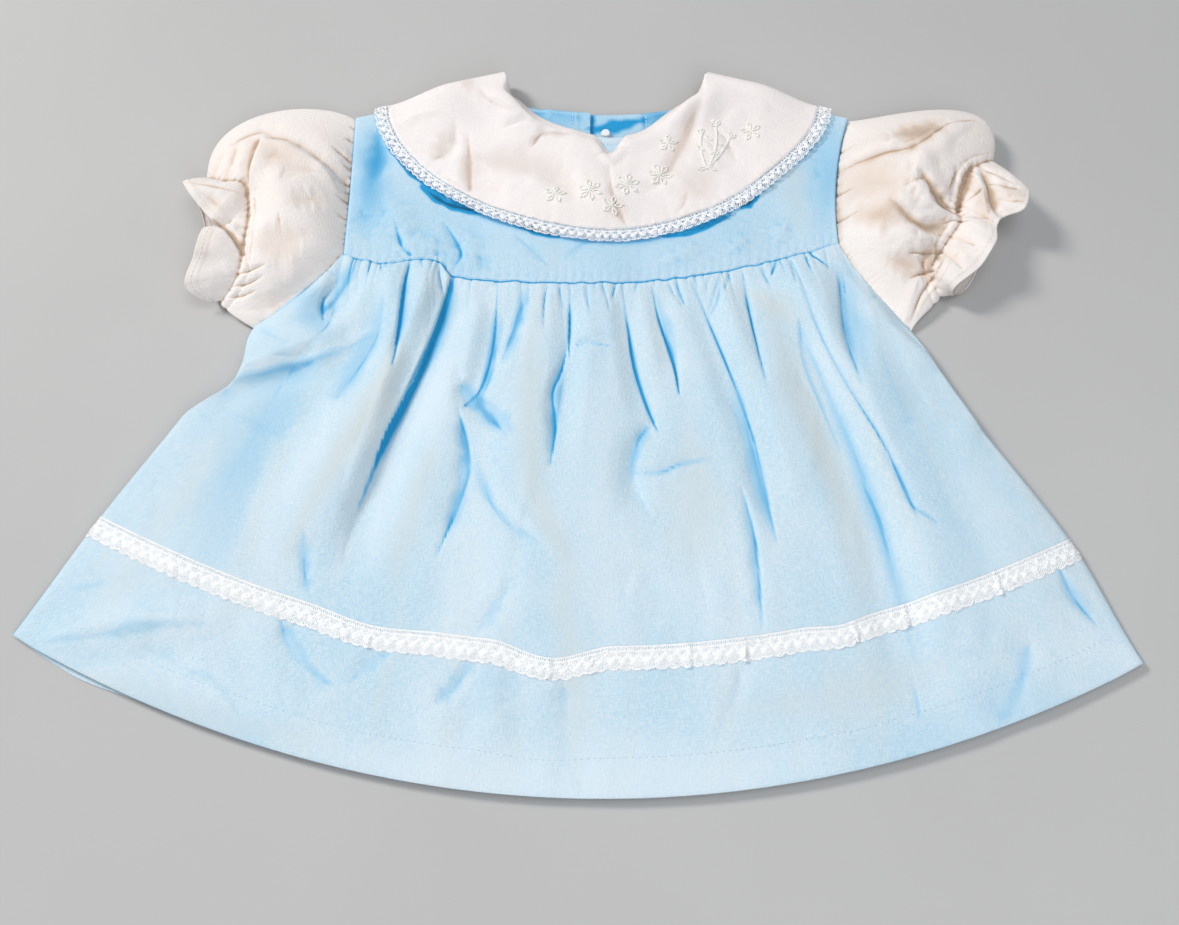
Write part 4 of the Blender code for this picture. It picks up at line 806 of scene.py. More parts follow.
# Front yoke. The flat panel over the chest, sewn to the gathered skirt, with its seam
# pressed up toward the neck. Most of it lies under the collar.
NECK_X = 13.5
NECK_Y = 168.0
NECK_HALF = 48.5
NECK_DEPTH = 34.0
BACK_NECK_DEPTH = 14.0
NECK_SEAM = 1.6
YOKE_WIDTH = 231.0
YOKE_ROLL = 1.3
YOKE_COLUMNS = 321
YOKE_ROWS = 110
YOKE_LIFT = 0.25
YOKE_EDGE_DROP = 0.9
YOKE_PUCKER = 0.16
YOKE_PUCKER_REACH = 5.0
YOKE_PUCKER_PITCH = 4.3
YOKE_SMALL_FOLDS = (20, (-105.0, 118.0, 62.0, 130.0), 0.004, 0.18)
YOKE_FOLDS = (
    ("left edge trough", 4, 5, -0.9, -98, 143, -97.5, 127.5, -99, 112),
    ("left edge ridge", 4, 5, 1.1, -90, 101, -83.6, 88.9, -79, 76),
    ("left corner trough", 4, 4, -0.7, -103, 96, -97, 78),
    ("pleat pad", 3.5, 4, 1.5, -84, 74, -62, 74),
    ("pad left crease", 1.2, 2.4, -0.8, -86, 88, -83.3, 78.2, -80.6, 72.7, -77.1, 69.9),
    ("pad right crease", 2.6, 1.2, -0.8, -62.7, 88, -56.1, 77.1, -54, 70.5, -56.4, 64.5),
    ("pleat pad end", 3, 3, 0.7, -52, 82, -49.1, 74.4, -49, 66),
    ("seam dent", 3, 3, -0.6, -46, 70, -40, 62),
    ("middle wrinkle", 1.6, 2.4, -0.5, -29, 80, -21, 72, -14, 64),
    ("right wrinkle", 2.5, 3, 0.7, 40, 67, 48.8, 71, 58, 74),
    ("right wrinkle two", 2.5, 2.5, 0.7, 71, 73, 79, 80),
    ("right wrinkle three", 2.5, 3, 0.7, 92, 76, 99, 88),
    ("right edge trough", 4, 5, -0.8, 118, 143, 106, 121),
    ("right edge ridge", 4, 5, 0.7, 126, 136, 115, 100),
)
# Painted shade over the yoke and beside its folds
YOKE_SHADES = (
    ("whole panel", 60, 60, 0.25, -170, 110, 13, 96, 190, 110),
    ("right panel shade", 8, 8, 0.3, 124, 150, 116, 84),
    ("left panel shade", 7, 8, 0.42, -100, 146, -99, 84),
    ("left hollow shade", 3, 3, 0.3, -98, 140, -96.5, 126, -97, 112),
    ("pad left shade", 0.8, 1.6, 0.2, -86, 88, -83.3, 78.2, -80.6, 72.7, -77.1, 69.9),
    ("pad shade", 2.2, 0.9, 0.3, -62.7, 88, -56.1, 77.1, -54, 70.5, -56.4, 64.5),
    # Painted shadow under the lace's edge, deepest where the lace stands off the yoke
    ("under the lace", 3, 3, 0.9, -97, 152, -96, 149.3, -90.1, 134.2, -76.9, 117.7, -57.5, 102.4, -33.9, 90.3,
     -8.9, 82.5, 12.1, 79.9, 33.1, 82.5, 58.1, 90.2, 79.6, 102.3, 97.2, 117.6, 112.3, 134.1, 120.4, 149.3,
     121, 152),
    ("lace gap one", 1, 1.4, 3.3, -92, 132, -85.5, 123.1, -79.7, 115.8, -72, 109),
    ("lace gap two", 1.6, 2.2, 3.8, -74.6, 108.5, -65.6, 100.7, -57.5, 96.7, -46, 94),
    ("lace gap three", 1.3, 1.8, 3.6, -35.6, 91.2, -24.4, 84.6, -16.5, 81.6, -5, 79.6),
    ("lace gap four", 1, 1.2, 2.6, 40, 80.6, 53.3, 82.5, 72, 92),
    ("lace gap five", 1.6, 1.9, 3.8, 73.5, 97.3, 80.6, 99.1, 86, 103),
    ("lace gap six", 1.3, 1.8, 3.8, 85.2, 103.7, 93.2, 114, 101, 120.5),
    ("lace gap seven", 1.1, 1.3, 3.3, 102, 125, 107, 129.5, 113, 136.5, 119, 145),
    ("middle seam shade", 1.6, 1.6, 0.25, -6, 68, 2, 75, 12, 79),
)


def yoke_top_y(x, neck_depth):
    """Upper edge of a yoke: the neckline, with a straight shoulder on each side."""
    half = NECK_HALF + NECK_SEAM
    neck_side_y = NECK_Y - NECK_SEAM
    edge = neck_side_y - neck_depth * np.sqrt(1.0 - np.clip((x - NECK_X) / half, -1.0, 1.0) ** 2)
    for side, sign in SIDE_SIGN.items():
        tip_x, tip_y = ARMHOLES[side]["tip"]
        shoulder = tip_y + (neck_side_y - tip_y) * (x - tip_x) / (NECK_X + sign * half - tip_x)
        edge = np.where(sign * (x - NECK_X) >= half, shoulder, edge)
    return edge


def yoke_side_shift(side, up):
    """How far the armhole seam lies sideways of the yoke's corner, at a share of its height."""
    return armhole(side, corner_share(side) * (1.0 - up))[..., 0] - ARMHOLES[side]["corner"][0]


across, up = np.meshgrid(np.linspace(ARMHOLE_SHARE, 1.0 - ARMHOLE_SHARE, YOKE_COLUMNS),
                         np.linspace(1.0, 0.0, YOKE_ROWS))
yoke_base = skirt_top_edge(across, 0.0, SEAM_PUSH)
toward_right = (across - ARMHOLE_SHARE) / (1.0 - 2.0 * ARMHOLE_SHARE)
yoke_x = (yoke_base[..., 0] + (1.0 - toward_right) ** 3 * yoke_side_shift("left", up)
          + toward_right ** 3 * yoke_side_shift("right", up))
above_seam = (yoke_top_y(yoke_x, NECK_DEPTH) - yoke_base[..., 1]) * up
yoke_plan = np.stack([yoke_x, yoke_base[..., 1] + above_seam], axis=-1)
yoke_chance = np.random.default_rng(CLOTH_SEED + 2)
yoke_folds = YOKE_FOLDS + small_folds(yoke_chance, *YOKE_SMALL_FOLDS)
pucker_wave = np.sin(2.0 * math.pi * yoke_x / YOKE_PUCKER_PITCH + np.sin(yoke_x / 9.0))
seam_pucker = YOKE_PUCKER * np.exp(-above_seam / YOKE_PUCKER_REACH) * pucker_wave
yoke_z = front_level(yoke_plan) + WALL + YOKE_LIFT + crease_height(yoke_plan, yoke_folds) + seam_pucker
from_edge = np.minimum(np.minimum(toward_right, 1.0 - toward_right) * YOKE_WIDTH, above_seam)
yoke_z -= YOKE_EDGE_DROP * (1.0 - rolled(from_edge, YOKE_ROLL))
front_yoke = cloth_sheet("front_yoke_cloth", with_height(yoke_plan, yoke_z), yoke_plan, blue_cloth,
                         YOKE_SHADES, PALER_GREYER_BANDS)
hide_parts("front_yoke")


# Back yokes. Two half panels of the same cloth whose edges lap where the dress fastens.
# Their insides show through the neck, with an overlocked top edge and a stitched facing.
HALF_COLUMNS = 111
HALF_ROWS = 90
HALF_RELIEF_MOST = 0.4
HALF_SMALL_FOLDS = (26, (-105.0, 118.0, 70.0, 150.0), 0.004, 0.25)
# side, the free edge's x, and how high the half lies
BACK_HALVES = (("left", BACK_EDGE_UPPER_X, 0.7), ("right", BACK_EDGE_LOWER_X, 0.6))
# Painted shade inside the back of the neck, with a painted shadow under the lapped edge
NECK_SHADES = (
    ("whole back", 16, 16, 0.3, -80, 150, 13, 146, 100, 150),
    ("facing shade", 10, 10, 0.25, -40, 150, 4, 150),
    ("lap shade", 2.6, 2.2, 1.3, 4, 143, 14, 145, 23, 147, 33, 150),
    ("lap edge shade", 0.7, 1.4, 1, 7, 156, 7, 138),
    ("right shade", 6, 6, 0.4, 30, 150, 50, 152),
)
NECK_CREASES = (
    ("placket edge", 0.8, 1.2, 0.5, -1.6, 157, -1.4, 150, -0.6, 138),
    ("top edge roll", 1.5, 1.5, 0.5, -34, 158, -10, 153, 14, 151.5, 37, 153, 60, 160),
    ("facing fold", 1.2, 2, -0.4, 31, 156, 32.5, 148, 33, 138),
    ("back dent", 2.5, 2.5, -0.5, -22, 154, -16, 148, -14, 142),
)


def back_yoke_points(side, edge_x, level):
    """A half back above the seam, in columns from its armhole to its free edge."""
    start = ARMHOLES[side]["corner"][0]
    toward_edge, up = np.meshgrid(np.linspace(0.0, 1.0, HALF_COLUMNS), np.linspace(1.0, 0.0, HALF_ROWS))
    seam_x = start + (edge_x - start) * toward_edge
    x = seam_x + (1.0 - toward_edge) ** 3 * yoke_side_shift(side, up)
    base_y = seam_y(seam_x, 0.0)
    plan = np.stack([x, base_y + (yoke_top_y(x, BACK_NECK_DEPTH) - base_y) * up], axis=-1)
    left = smooth((x - BACK_EDGE_LOWER_X + 1.5 * BACK_STEP) / BACK_STEP)
    right = smooth((BACK_EDGE_UPPER_X + 1.5 * BACK_STEP - x) / BACK_STEP)
    step = LAYER * left * right if side == "left" else 0.0
    chance = np.random.default_rng(CLOTH_SEED + 3)
    folds = crease_height(plan, small_folds(chance, *HALF_SMALL_FOLDS))
    relief = np.clip(folds, -HALF_RELIEF_MOST, HALF_RELIEF_MOST) + crease_height(plan, NECK_CREASES)
    return with_height(plan, LAYER + level + step + relief)


back_grids = []
for side, edge_x, level in BACK_HALVES:
    half_back = back_yoke_points(side, edge_x, level)
    if side == "right":
        half_back = half_back[:, ::-1]
    back_yoke = cloth_sheet(f"back_yoke_{side}_cloth", half_back, half_back[..., :2], blue_cloth,
                            NECK_SHADES)
    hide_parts(f"back_yoke_{side}")
    back_grids.append(half_back)


# Collar. A round flat collar of ivory cotton, two layers turned right side out with the
# lace caught in its edge. It rolls over both shoulders and lies under the back.
COLLAR_X = 12.2
COLLAR_Y = 153.0
COLLAR_HALF = 104.8
COLLAR_DEPTH = 69.3
COLLAR_BACK_DEPTH = 48.0
COLLAR_BACK_NECK_DEPTH = 18.5
COLLAR_FULLNESS = 1.7
COLLAR_FLAT_DEPTH = 58.0
COLLAR_ROLL_NECK = 6.2
COLLAR_ROLL_EDGE = 3.4
COLLAR_ROLL_FULL_TO = 0.45
COLLAR_ROLL_SPREAD = 1.9
COLLAR_RIGHT_INWARD = 4.0
COLLAR_RIGHT_AT = 1.82 * math.pi
COLLAR_RIGHT_REACH = 0.17 * math.pi
COLLAR_NECK_ROLL = 1.2
NECK_INWARD = 4.5
NECK_INWARD_SPREAD = 2.2
NECK_RIGHT_INWARD = 6.0
NECK_RIGHT_AT = 1.80 * math.pi
NECK_RIGHT_REACH = 0.20 * math.pi
COLLAR_STAND = 4.5
COLLAR_STAND_AT = 0.42
COLLAR_STAND_REACH = 0.42
COLLAR_FULLNESS_HEIGHT = 1.8
NOTCH_X = 15.7
NOTCH_DEPTH = 9.0
NOTCH_HALF = 8.5
NECK_DIP = 2.6
NECK_DIP_REACH = 26.0
COLLAR_BACK_REACH = 0.46
COLLAR_BACK_STATIONS = 60
COLLAR_FRONT_STATIONS = 281
COLLAR_ROLL_STATIONS = 17
COLLAR_ROWS = 64
COLLAR_PUCKER = 0.12
COLLAR_PUCKER_REACH = 3.0
COLLAR_PUCKER_PITCH = 5.2
COLLAR_SMALL_FOLDS = (34, (-80.0, 105.0, 92.0, 150.0), 0.01, 0.32)
# The edge turns over at the neck and at the lace: how far each outer row drops
COLLAR_NECK_DROPS = (1.6, 0.5)
COLLAR_EDGE_DROPS = (0.12, 0.45, 0.95, 1.3)
COLLAR_FOLDS = (
    ("left hollow", 5, 7, -1.7, -46, 124, -33, 120, -20, 118, -8, 110, 0, 98),
    ("left hollow bank", 5, 4, 0.8, -44, 114, -26, 111, -10, 101),
    ("left long crease", 3, 1.4, -1.2, -53.5, 136, -52, 122, -51, 104),
    ("left outer crease", 2, 3, -0.9, -60, 144, -61, 130, -70, 123),
    ("neck crease", 1.6, 2.2, -1, -36, 140, -28, 142.5, -17, 143),
    ("neck crease two", 1.6, 2.2, -1.2, -22, 129, -16, 137, -3, 136),
    ("neck side crease", 2, 1.6, -1.1, -49, 164, -43, 154, -25, 144),
    ("shoulder crease", 1.6, 2, -0.8, -72, 158, -62, 163, -52, 167),
    ("outer fold", 2.4, 2.4, 0.8, -88, 143, -80, 147.5, -70, 149),
    ("lower left crease", 2.4, 3, -0.8, -74, 117, -54, 109, -35, 104),
    ("front crease", 2.6, 1.4, -0.9, 15, 118, 17, 100, 23, 85),
    ("notch crease", 1.6, 1.8, -0.7, 8, 123, 18, 128, 27, 128),
    ("front swell", 6, 7, 0.8, -14, 94, 14, 97, 42, 93),
    ("right long crease", 3.6, 2.4, -1.1, 62, 158, 53, 138, 42, 112, 32, 104),
    ("right bank", 4, 6, 0.8, 66, 158, 60, 136, 54, 120),
    ("right outer dip", 5, 5, -0.8, 84, 152, 80, 138, 70, 116),
    ("right shoulder dip", 3, 4, -0.7, 74, 166, 86, 158, 100, 148),
    ("sprig pucker", 1.8, 1.6, -0.6, 64, 142, 72, 134, 76, 122),
    ("sprig pucker two", 1.6, 1.8, 0.5, 56, 137, 62, 130, 68, 118),
    ("seam pucker", 1.4, 1.4, -0.5, 46, 92, 50, 97, 52, 104),
)
# Painted shade in the collar's hollows and beside its creases
COLLAR_SHADES = (
    ("left hollow shade", 7, 8, 0.36, -44, 125, -32, 121, -18, 118, -6, 109),
    ("left band shade", 3, 4, 0.5, -53, 133, -51.5, 104),
    ("outer shade", 4, 4, 0.5, -62, 140, -70, 123),
    ("neck shade", 2, 2, 0.55, -24, 130, -16, 136, -3, 135),
    ("front shade", 3, 3, 0.55, 15, 106, 22, 86),
    ("right band shade", 4.4, 3, 0.55, 58, 152, 53, 136, 42, 110),
    ("right grey shade", 7, 7, 0.36, 66, 120, 50, 100),
    ("shoulder shade", 4, 3, 0.5, -58, 163, -50, 166),
)


def superellipse(angle, centre, half, depth, power):
    """Lower half of a superellipse, from its left end at 180 degrees to its right end at 360."""
    cosine = np.cos(angle)
    x = centre[0] + half * np.sign(cosine) * np.abs(cosine) ** (2.0 / power)
    y = centre[1] - depth * np.abs(np.sin(angle)) ** (2.0 / power)
    return np.stack([x, y], axis=-1)


def neck_edge(angle, depth):
    return superellipse(angle, (NECK_X, NECK_Y), NECK_HALF, depth, 2.0)


def collar_line(station, share, beyond):
    """Points of the collar's outside at one station round it.

    A station is an angle, front, back or roll, and how far round the roll. Each point is a share
    of the way from neck to edge, and a distance beyond the edge."""
    angle, kind, turn = station
    depth = COLLAR_BACK_DEPTH if kind == "back" else COLLAR_DEPTH
    inner = neck_edge(angle, COLLAR_BACK_NECK_DEPTH if kind == "back" else NECK_DEPTH)
    outer = superellipse(angle, (COLLAR_X, COLLAR_Y), COLLAR_HALF, depth, COLLAR_FULLNESS)
    outer[0] -= COLLAR_RIGHT_INWARD * bump(angle - COLLAR_RIGHT_AT, COLLAR_RIGHT_REACH)
    from_fold = abs(math.sin(angle))
    if kind == "front":
        toward_centre = np.array([NECK_X, NECK_Y]) - inner
        drawn_in = NECK_INWARD * smooth(from_fold * NECK_INWARD_SPREAD)
        inner += toward_centre * drawn_in / np.hypot(*toward_centre)
        from_notch = inner[0] - NOTCH_X
        inner[1] -= NOTCH_DEPTH * bump(from_notch, NOTCH_HALF) + NECK_DIP * bump(from_notch, NECK_DIP_REACH)
        inner[0] -= NECK_RIGHT_INWARD * bump(angle - NECK_RIGHT_AT, NECK_RIGHT_REACH)
    outward = (outer - inner) / np.hypot(*(outer - inner))
    plan = inner + (outer - inner) * share[:, None] + outward * beyond[:, None]
    if kind == "back":
        return with_height(plan, np.full(len(share), BACK_SHEET_Z))
    narrowing = smooth((share - COLLAR_ROLL_FULL_TO) / (1.0 - COLLAR_ROLL_FULL_TO))
    radius = COLLAR_ROLL_NECK + (COLLAR_ROLL_EDGE - COLLAR_ROLL_NECK) * narrowing
    if kind == "front":
        seat = front_level(plan) + LAYER
        lying = seat + COLLAR_FULLNESS_HEIGHT * bump(share - 0.4, 0.6)
        lying += COLLAR_NECK_ROLL * bump(share - 0.12, 0.14)
        under = lying + (2.0 * radius - WALL - lying) * (1.0 - smooth(from_fold * COLLAR_ROLL_SPREAD))
        stand = COLLAR_STAND * bump(from_fold - COLLAR_STAND_AT, COLLAR_STAND_REACH)
        under += stand * bump(share - 0.12, 0.28)
        under = seat + (under - seat) * smooth(share / 0.08 + 1.0 - smooth(from_fold * 4.0))
        return with_height(plan, under + WALL)
    away = np.array([-outward[1], outward[0]]) * (-1.0 if kind == "left roll" else 1.0)
    around = turn * math.pi
    return with_height(plan + away * radius[:, None] * math.sin(around), radius * (1.0 + math.cos(around)))


def collar_grid(share, beyond):
    return np.stack([collar_line(station, share, beyond) for station in stations], axis=1)


def lengths_along(points):
    """Distance of each point from the first, along lines of points."""
    steps = np.linalg.norm(np.diff(points, axis=0), axis=-1)
    return np.concatenate([np.zeros_like(steps[:1]), np.cumsum(steps, axis=0)])


# Round the collar from one back edge over the front to the other: angle, part, turn
back_angles = np.linspace(COLLAR_BACK_REACH, 0.0, COLLAR_BACK_STATIONS) * math.pi
front_angles = np.linspace(0.0, 1.0, COLLAR_FRONT_STATIONS) * math.pi
roll_turns = np.linspace(0.0, 1.0, COLLAR_ROLL_STATIONS)[1:-1]
stations = [(math.pi + angle, "back", 0.0) for angle in back_angles]
stations += [(math.pi, "left roll", 1.0 - turn) for turn in roll_turns]
stations += [(math.pi + angle, "front", 0.0) for angle in front_angles]
stations += [(2.0 * math.pi, "right roll", turn) for turn in roll_turns]
stations += [(2.0 * math.pi - angle, "back", 0.0) for angle in back_angles[::-1]]
is_front = np.array([[kind == "front" for _, kind, _ in stations]], float)
creased = is_front * [[smooth(5.0 * abs(math.sin(angle))) for angle, _, _ in stations]]

# The last two colours are painted shade: a soft one, and a deep one for creases
collar_cloth = plain_weave("ivory collar cotton", (0.91, 0.86, 0.845), (0.86, 0.78, 0.75),
                           (0.87, 0.80, 0.77), (0.74, 0.65, 0.60), (0.52, 0.41, 0.34))
collar_share = np.concatenate([[0.0, 0.0], np.linspace(0.0, 1.0, COLLAR_ROWS), [1.0, 1.0, 0.99]])[:, None]
collar_beyond = np.concatenate([np.zeros(COLLAR_ROWS + 2), [0.3, 0.35, 0.0]])[:, None]
collar_points = collar_grid(collar_share[:, 0], collar_beyond[:, 0])
collar_chance = np.random.default_rng(CLOTH_SEED + 4)
collar_folds = COLLAR_FOLDS + small_folds(collar_chance, *COLLAR_SMALL_FOLDS)
collar_points[..., 2] += crease_height(collar_points, collar_folds) * creased
around = lengths_along(collar_points[-4])[None, :]
from_lace = (1.0 - collar_share) * COLLAR_FLAT_DEPTH
edge_pucker = COLLAR_PUCKER * np.exp(-from_lace / COLLAR_PUCKER_REACH) * creased
pucker_wave = np.sin(2.0 * math.pi * around / COLLAR_PUCKER_PITCH + 1.5 * np.sin(around / 11.0))
collar_points[..., 2] += edge_pucker * pucker_wave
collar_points[:2, :, 2] -= np.array(COLLAR_NECK_DROPS)[:, None] * is_front
collar_points[-4:, :, 2] -= np.array(COLLAR_EDGE_DROPS)[:, None] * is_front
collar_flat = np.stack(np.broadcast_arrays(around, collar_share * COLLAR_FLAT_DEPTH + collar_beyond), axis=-1)
collar = cloth_sheet("collar_cloth", collar_points[:, ::-1], collar_flat[:, ::-1], collar_cloth,
                     COLLAR_SHADES)
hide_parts("collar")


# Collar lace. Narrow cotton lace, about 7 mm wide: a firm straight heading caught in the
# seam, a net with a wavy thicker cord worked into it, and an outer edge of small loops.
COLLAR_LACE_WIDTH = 7.4
COLLAR_LACE_CAUGHT = 0.3
COLLAR_LACE_DROP = 0.45
COLLAR_LACE_PITCH = 4.2
LACE_STEP = 0.26
LACE_END = 0.3
LACE_HEADING = 0.19
HEADING_PITCH = 0.9
NET_LONG = 1.12
NET_WIDE = 1.04
LOOP_PITCH = 0.88
LACE_LIFTS = (
    ("left lift", 7, 7, 2.2, -70, 112, -49.5, 96.4, -26, 86),
    ("lower left lift", 4, 4, 0.9, -16, 84, 8, 80),
    ("right lift", 5, 5, 1.6, 84, 104, 92.9, 117.5, 100, 132),
    ("lower right lift", 4, 4, 1, 52, 84, 74, 94),
)


def on_grid(grid, lengths, widths, along, across):
    """Points of a band that lie on a grid, at lengths along it and widths across it, in millimetres."""
    column = np.interp(along, lengths, np.arange(len(lengths)))
    row = np.interp(across, widths, np.arange(len(widths)))
    left = np.minimum(column.astype(int), len(lengths) - 2)
    low = np.minimum(row.astype(int), len(widths) - 2)
    c = (column - left)[..., None]
    r = (row - low)[..., None]
    return ((1 - r) * ((1 - c) * grid[low, left] + c * grid[low, left + 1])
            + r * ((1 - c) * grid[low + 1, left] + c * grid[low + 1, left + 1]))


def cotton_thread(name, pale, full):
    """Cotton thread, a little uneven in colour and twist."""
    material, tree, shader, place = mottled(name, 0.8, 260.0, full, pale)
    twist = noise_value(tree, place, (5200.0, 5200.0, 5200.0), detail=2.0)
    raised(tree, shader, twist, distance=0.00006)
    shader.inputs["Sheen Weight"].default_value = 0.15
    return material


white_thread = cotton_thread("white cotton thread", (0.95, 0.95, 0.95), (0.90, 0.90, 0.90))
lace_chance = np.random.default_rng(CLOTH_SEED + 5)


def lace_band(name, grid, lengths, widths, pitch, openness, relief):
    """Lace as one fine sheet on a grid: its holes and its edge are cut through, and its cords raised."""
    along, across = np.meshgrid(np.arange(LACE_END, lengths[-1] - LACE_END, LACE_STEP),
                                np.arange(0.0, widths[-1], LACE_STEP))
    drift = lace_chance.normal(0.0, 1.0, along.shape)
    wander = 0.3 * np.sin(along / 5.3) + 0.2 * np.sin(along / 2.1 + across)
    share = across / widths[-1]
    phase = 2.0 * math.pi * (along + wander) / pitch
    net = np.cos(2.0 * math.pi * (along + wander) / NET_LONG) * np.cos(2.0 * math.pi * across / NET_WIDE)
    heading_holes = np.cos(2.0 * math.pi * along / HEADING_PITCH) * np.cos(math.pi * (share - 0.10) / 0.13)
    wave = 0.52 + 0.15 * np.sin(phase) + 0.05 * np.sin(2.0 * phase + 1.0)
    cord = bump(share - wave, 0.13)
    second_cord = bump(share - wave + 0.17, 0.07)
    top_cord = bump(share, 0.035)
    heading_cord = bump(share - 0.21, 0.04)
    leaf = smooth(1.2 - np.hypot(((along + wander) / pitch + 0.25) % 1.0 - 0.5, (share - 0.60) / 0.55) * 3.4)
    edge = 0.83 + 0.10 * np.abs(np.sin(0.5 * phase)) ** 0.7
    edge += 0.025 * np.sin(along / 3.7) * np.sin(along / 1.3)
    rim = bump(share - edge, 0.07)
    loops = 0.055 * np.clip(np.cos(2.0 * math.pi * (along + 0.6 * wander) / LOOP_PITCH), 0.0, 1.0) ** 0.6
    solid = np.maximum.reduce([cord, second_cord, 0.9 * leaf, rim, top_cord, heading_cord])
    holes = np.where(share < LACE_HEADING, heading_holes, net)
    hole = holes + 0.18 * drift - 1.6 * solid > 1.0 - openness
    inside = share < edge + loops + 0.01 * drift
    points = on_grid(grid, lengths, widths, along, across)
    points[..., 2] += relief * (0.18 + 0.5 * cord + 0.25 * second_cord + 0.35 * leaf + 0.25 * rim
                                + 0.12 * drift + 0.3 * top_cord + 0.2 * heading_cord)
    kept = grid_quads(*along.shape)[(inside & ~hole)[:-1, :-1]]
    used, compact = np.unique(kept, return_inverse=True)
    return dress_piece(name, points.reshape(-1, 3)[used], compact.reshape(-1, 4), white_thread)


lace_widths = np.linspace(0.0, COLLAR_LACE_WIDTH + COLLAR_LACE_CAUGHT, 6)
lace_grid = collar_grid(np.ones(6), lace_widths)
lace_grid[..., 2] -= COLLAR_LACE_DROP * is_front
lace_lengths = lengths_along(lace_grid[3])
flutter = 0.35 * np.sin(lace_lengths / 3.1) * np.sin(lace_lengths / 7.7)
flutter = (flutter + crease_height(lace_grid, LACE_LIFTS)) * lace_widths[:, None] / COLLAR_LACE_WIDTH
lace_grid[..., 2] += flutter * is_front
collar_lace = lace_band("collar_lace_net", lace_grid, lace_lengths, lace_widths, COLLAR_LACE_PITCH,
                        openness=1.0, relief=0.6)
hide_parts("collar_lace")


# Embroidery on the collar. White cotton flowers in looped stitches, each petal one chain
# loop held down at its tip, in a row round the front, and a tied sprig on the right.
PETAL_LENGTH = 4.3
PETAL_WIDTH = 1.15
PETAL_ROOT = 0.75
PETAL_LIFT = 0.22
HOLD_INSIDE = 0.3
HOLD_BEYOND = 0.75
HOLD_LIFT = 0.12
KNOT_RADIUS = 0.5
KNOT_LIFT = 0.3
LEAF_WIDTH = 0.9
LEAF_LIFT = 0.2
STEM_LIFT = 0.18
STITCH_POINTS = 15
EMBROIDERY_THREAD = 0.34
# The columns of the collar's front that carry the embroidery
EMBROIDERED = slice(30, -10)
# x, y, size, turn in degrees, petals
FLOWERS = (
    (-10.6, 101.7, 0.85, 10, 5),
    (5.9, 103.4, 1, 40, 6),
    (16.3, 95.5, 0.9, 75, 5),
    (23.5, 107.4, 1.05, 20, 6),
    (39.3, 113.7, 1.05, 55, 6),
    (43.5, 131.5, 0.8, 15, 5),
    (84, 139, 0.85, 30, 5),
)
# start x, start y, end x, end y, bow
SPRIG_STEMS = ((62, 117, 67, 141, -2), (62, 117, 73.5, 135, -1), (62, 117, 60, 136, 1.5))
# x, y, turn in degrees, length
SPRIG_LEAVES = (
    (64, 125, 20, 3.6), (60.7, 127, 150, 3.4), (68, 130, 5, 3.2), (64.6, 133, 140, 3), (67, 141, 60, 3.2),
    (67, 141, 105, 3.2), (67, 141, 150, 2.8), (73.5, 135, 35, 2.8), (73.5, 135, 80, 2.8), (60, 136, 85, 2.8),
    (60, 136, 130, 2.8), (62, 118, 200, 3.8), (62, 118, 340, 3.8),
)


def unit(vectors):
    return vectors / np.maximum(np.linalg.norm(vectors, axis=-1, keepdims=True), 1e-9)


def add_threads(name, batches, material, sides):
    """Round threads along many paths. A batch is paths of equal point count, and a radius."""
    corners = []
    quads = []
    start = 0
    turn = (np.linspace(0.0, 2.0 * math.pi, sides, endpoint=False) - 0.5 * math.pi)[:, None]
    for paths, radius in batches:
        along = unit(np.gradient(paths, axis=1))
        beside = unit(np.cross(along, (0.0, 0.0, 1.0)))
        above = np.cross(beside, along)
        ring = np.cos(turn) * beside[:, :, None] + np.sin(turn) * above[:, :, None]
        corners.append((paths[:, :, None] + radius * ring).reshape(-1, 3))
        index = start + np.arange(len(corners[-1])).reshape(*paths.shape[:2], sides)
        beyond = np.roll(index, -1, axis=2)
        ring_quads = np.stack([index[:, :-1], index[:, 1:], beyond[:, 1:], beyond[:, :-1]], axis=-1)
        quads.append(ring_quads.reshape(-1, 4))
        start += len(corners[-1])
    return dress_piece(name, np.concatenate(corners), np.concatenate(quads), material)


def surface_height(points, x, y):
    """Height of a grid of points at plan places, from its nearest four points."""
    flat = points.reshape(-1, 3)
    heights = []
    for px, py in zip(np.ravel(x), np.ravel(y)):
        gap = (flat[:, 0] - px) ** 2 + (flat[:, 1] - py) ** 2
        near = np.argpartition(gap, 4)[:4]
        heights.append(np.average(flat[near, 2], weights=1.0 / (gap[near] + 0.01)))
    return np.reshape(heights, np.shape(x))


def stitch_loop(x, y, turn, length, width, lift):
    """A looped stitch: a narrow drop from its root, and the short stitch that holds its tip."""
    t = np.linspace(0.0, 1.0, STITCH_POINTS)
    along = length * np.sin(math.pi * t)
    beside = width * np.sin(2.0 * math.pi * t) * (0.55 + 0.45 * np.sin(math.pi * t))
    hold = np.linspace(length - HOLD_INSIDE, length + HOLD_BEYOND, STITCH_POINTS)
    return [(x + a * math.cos(turn) - b * math.sin(turn), y + a * math.sin(turn) + b * math.cos(turn), high)
            for a, b, high in ((along, beside, lift), (hold, 0.0, lift + HOLD_LIFT))]


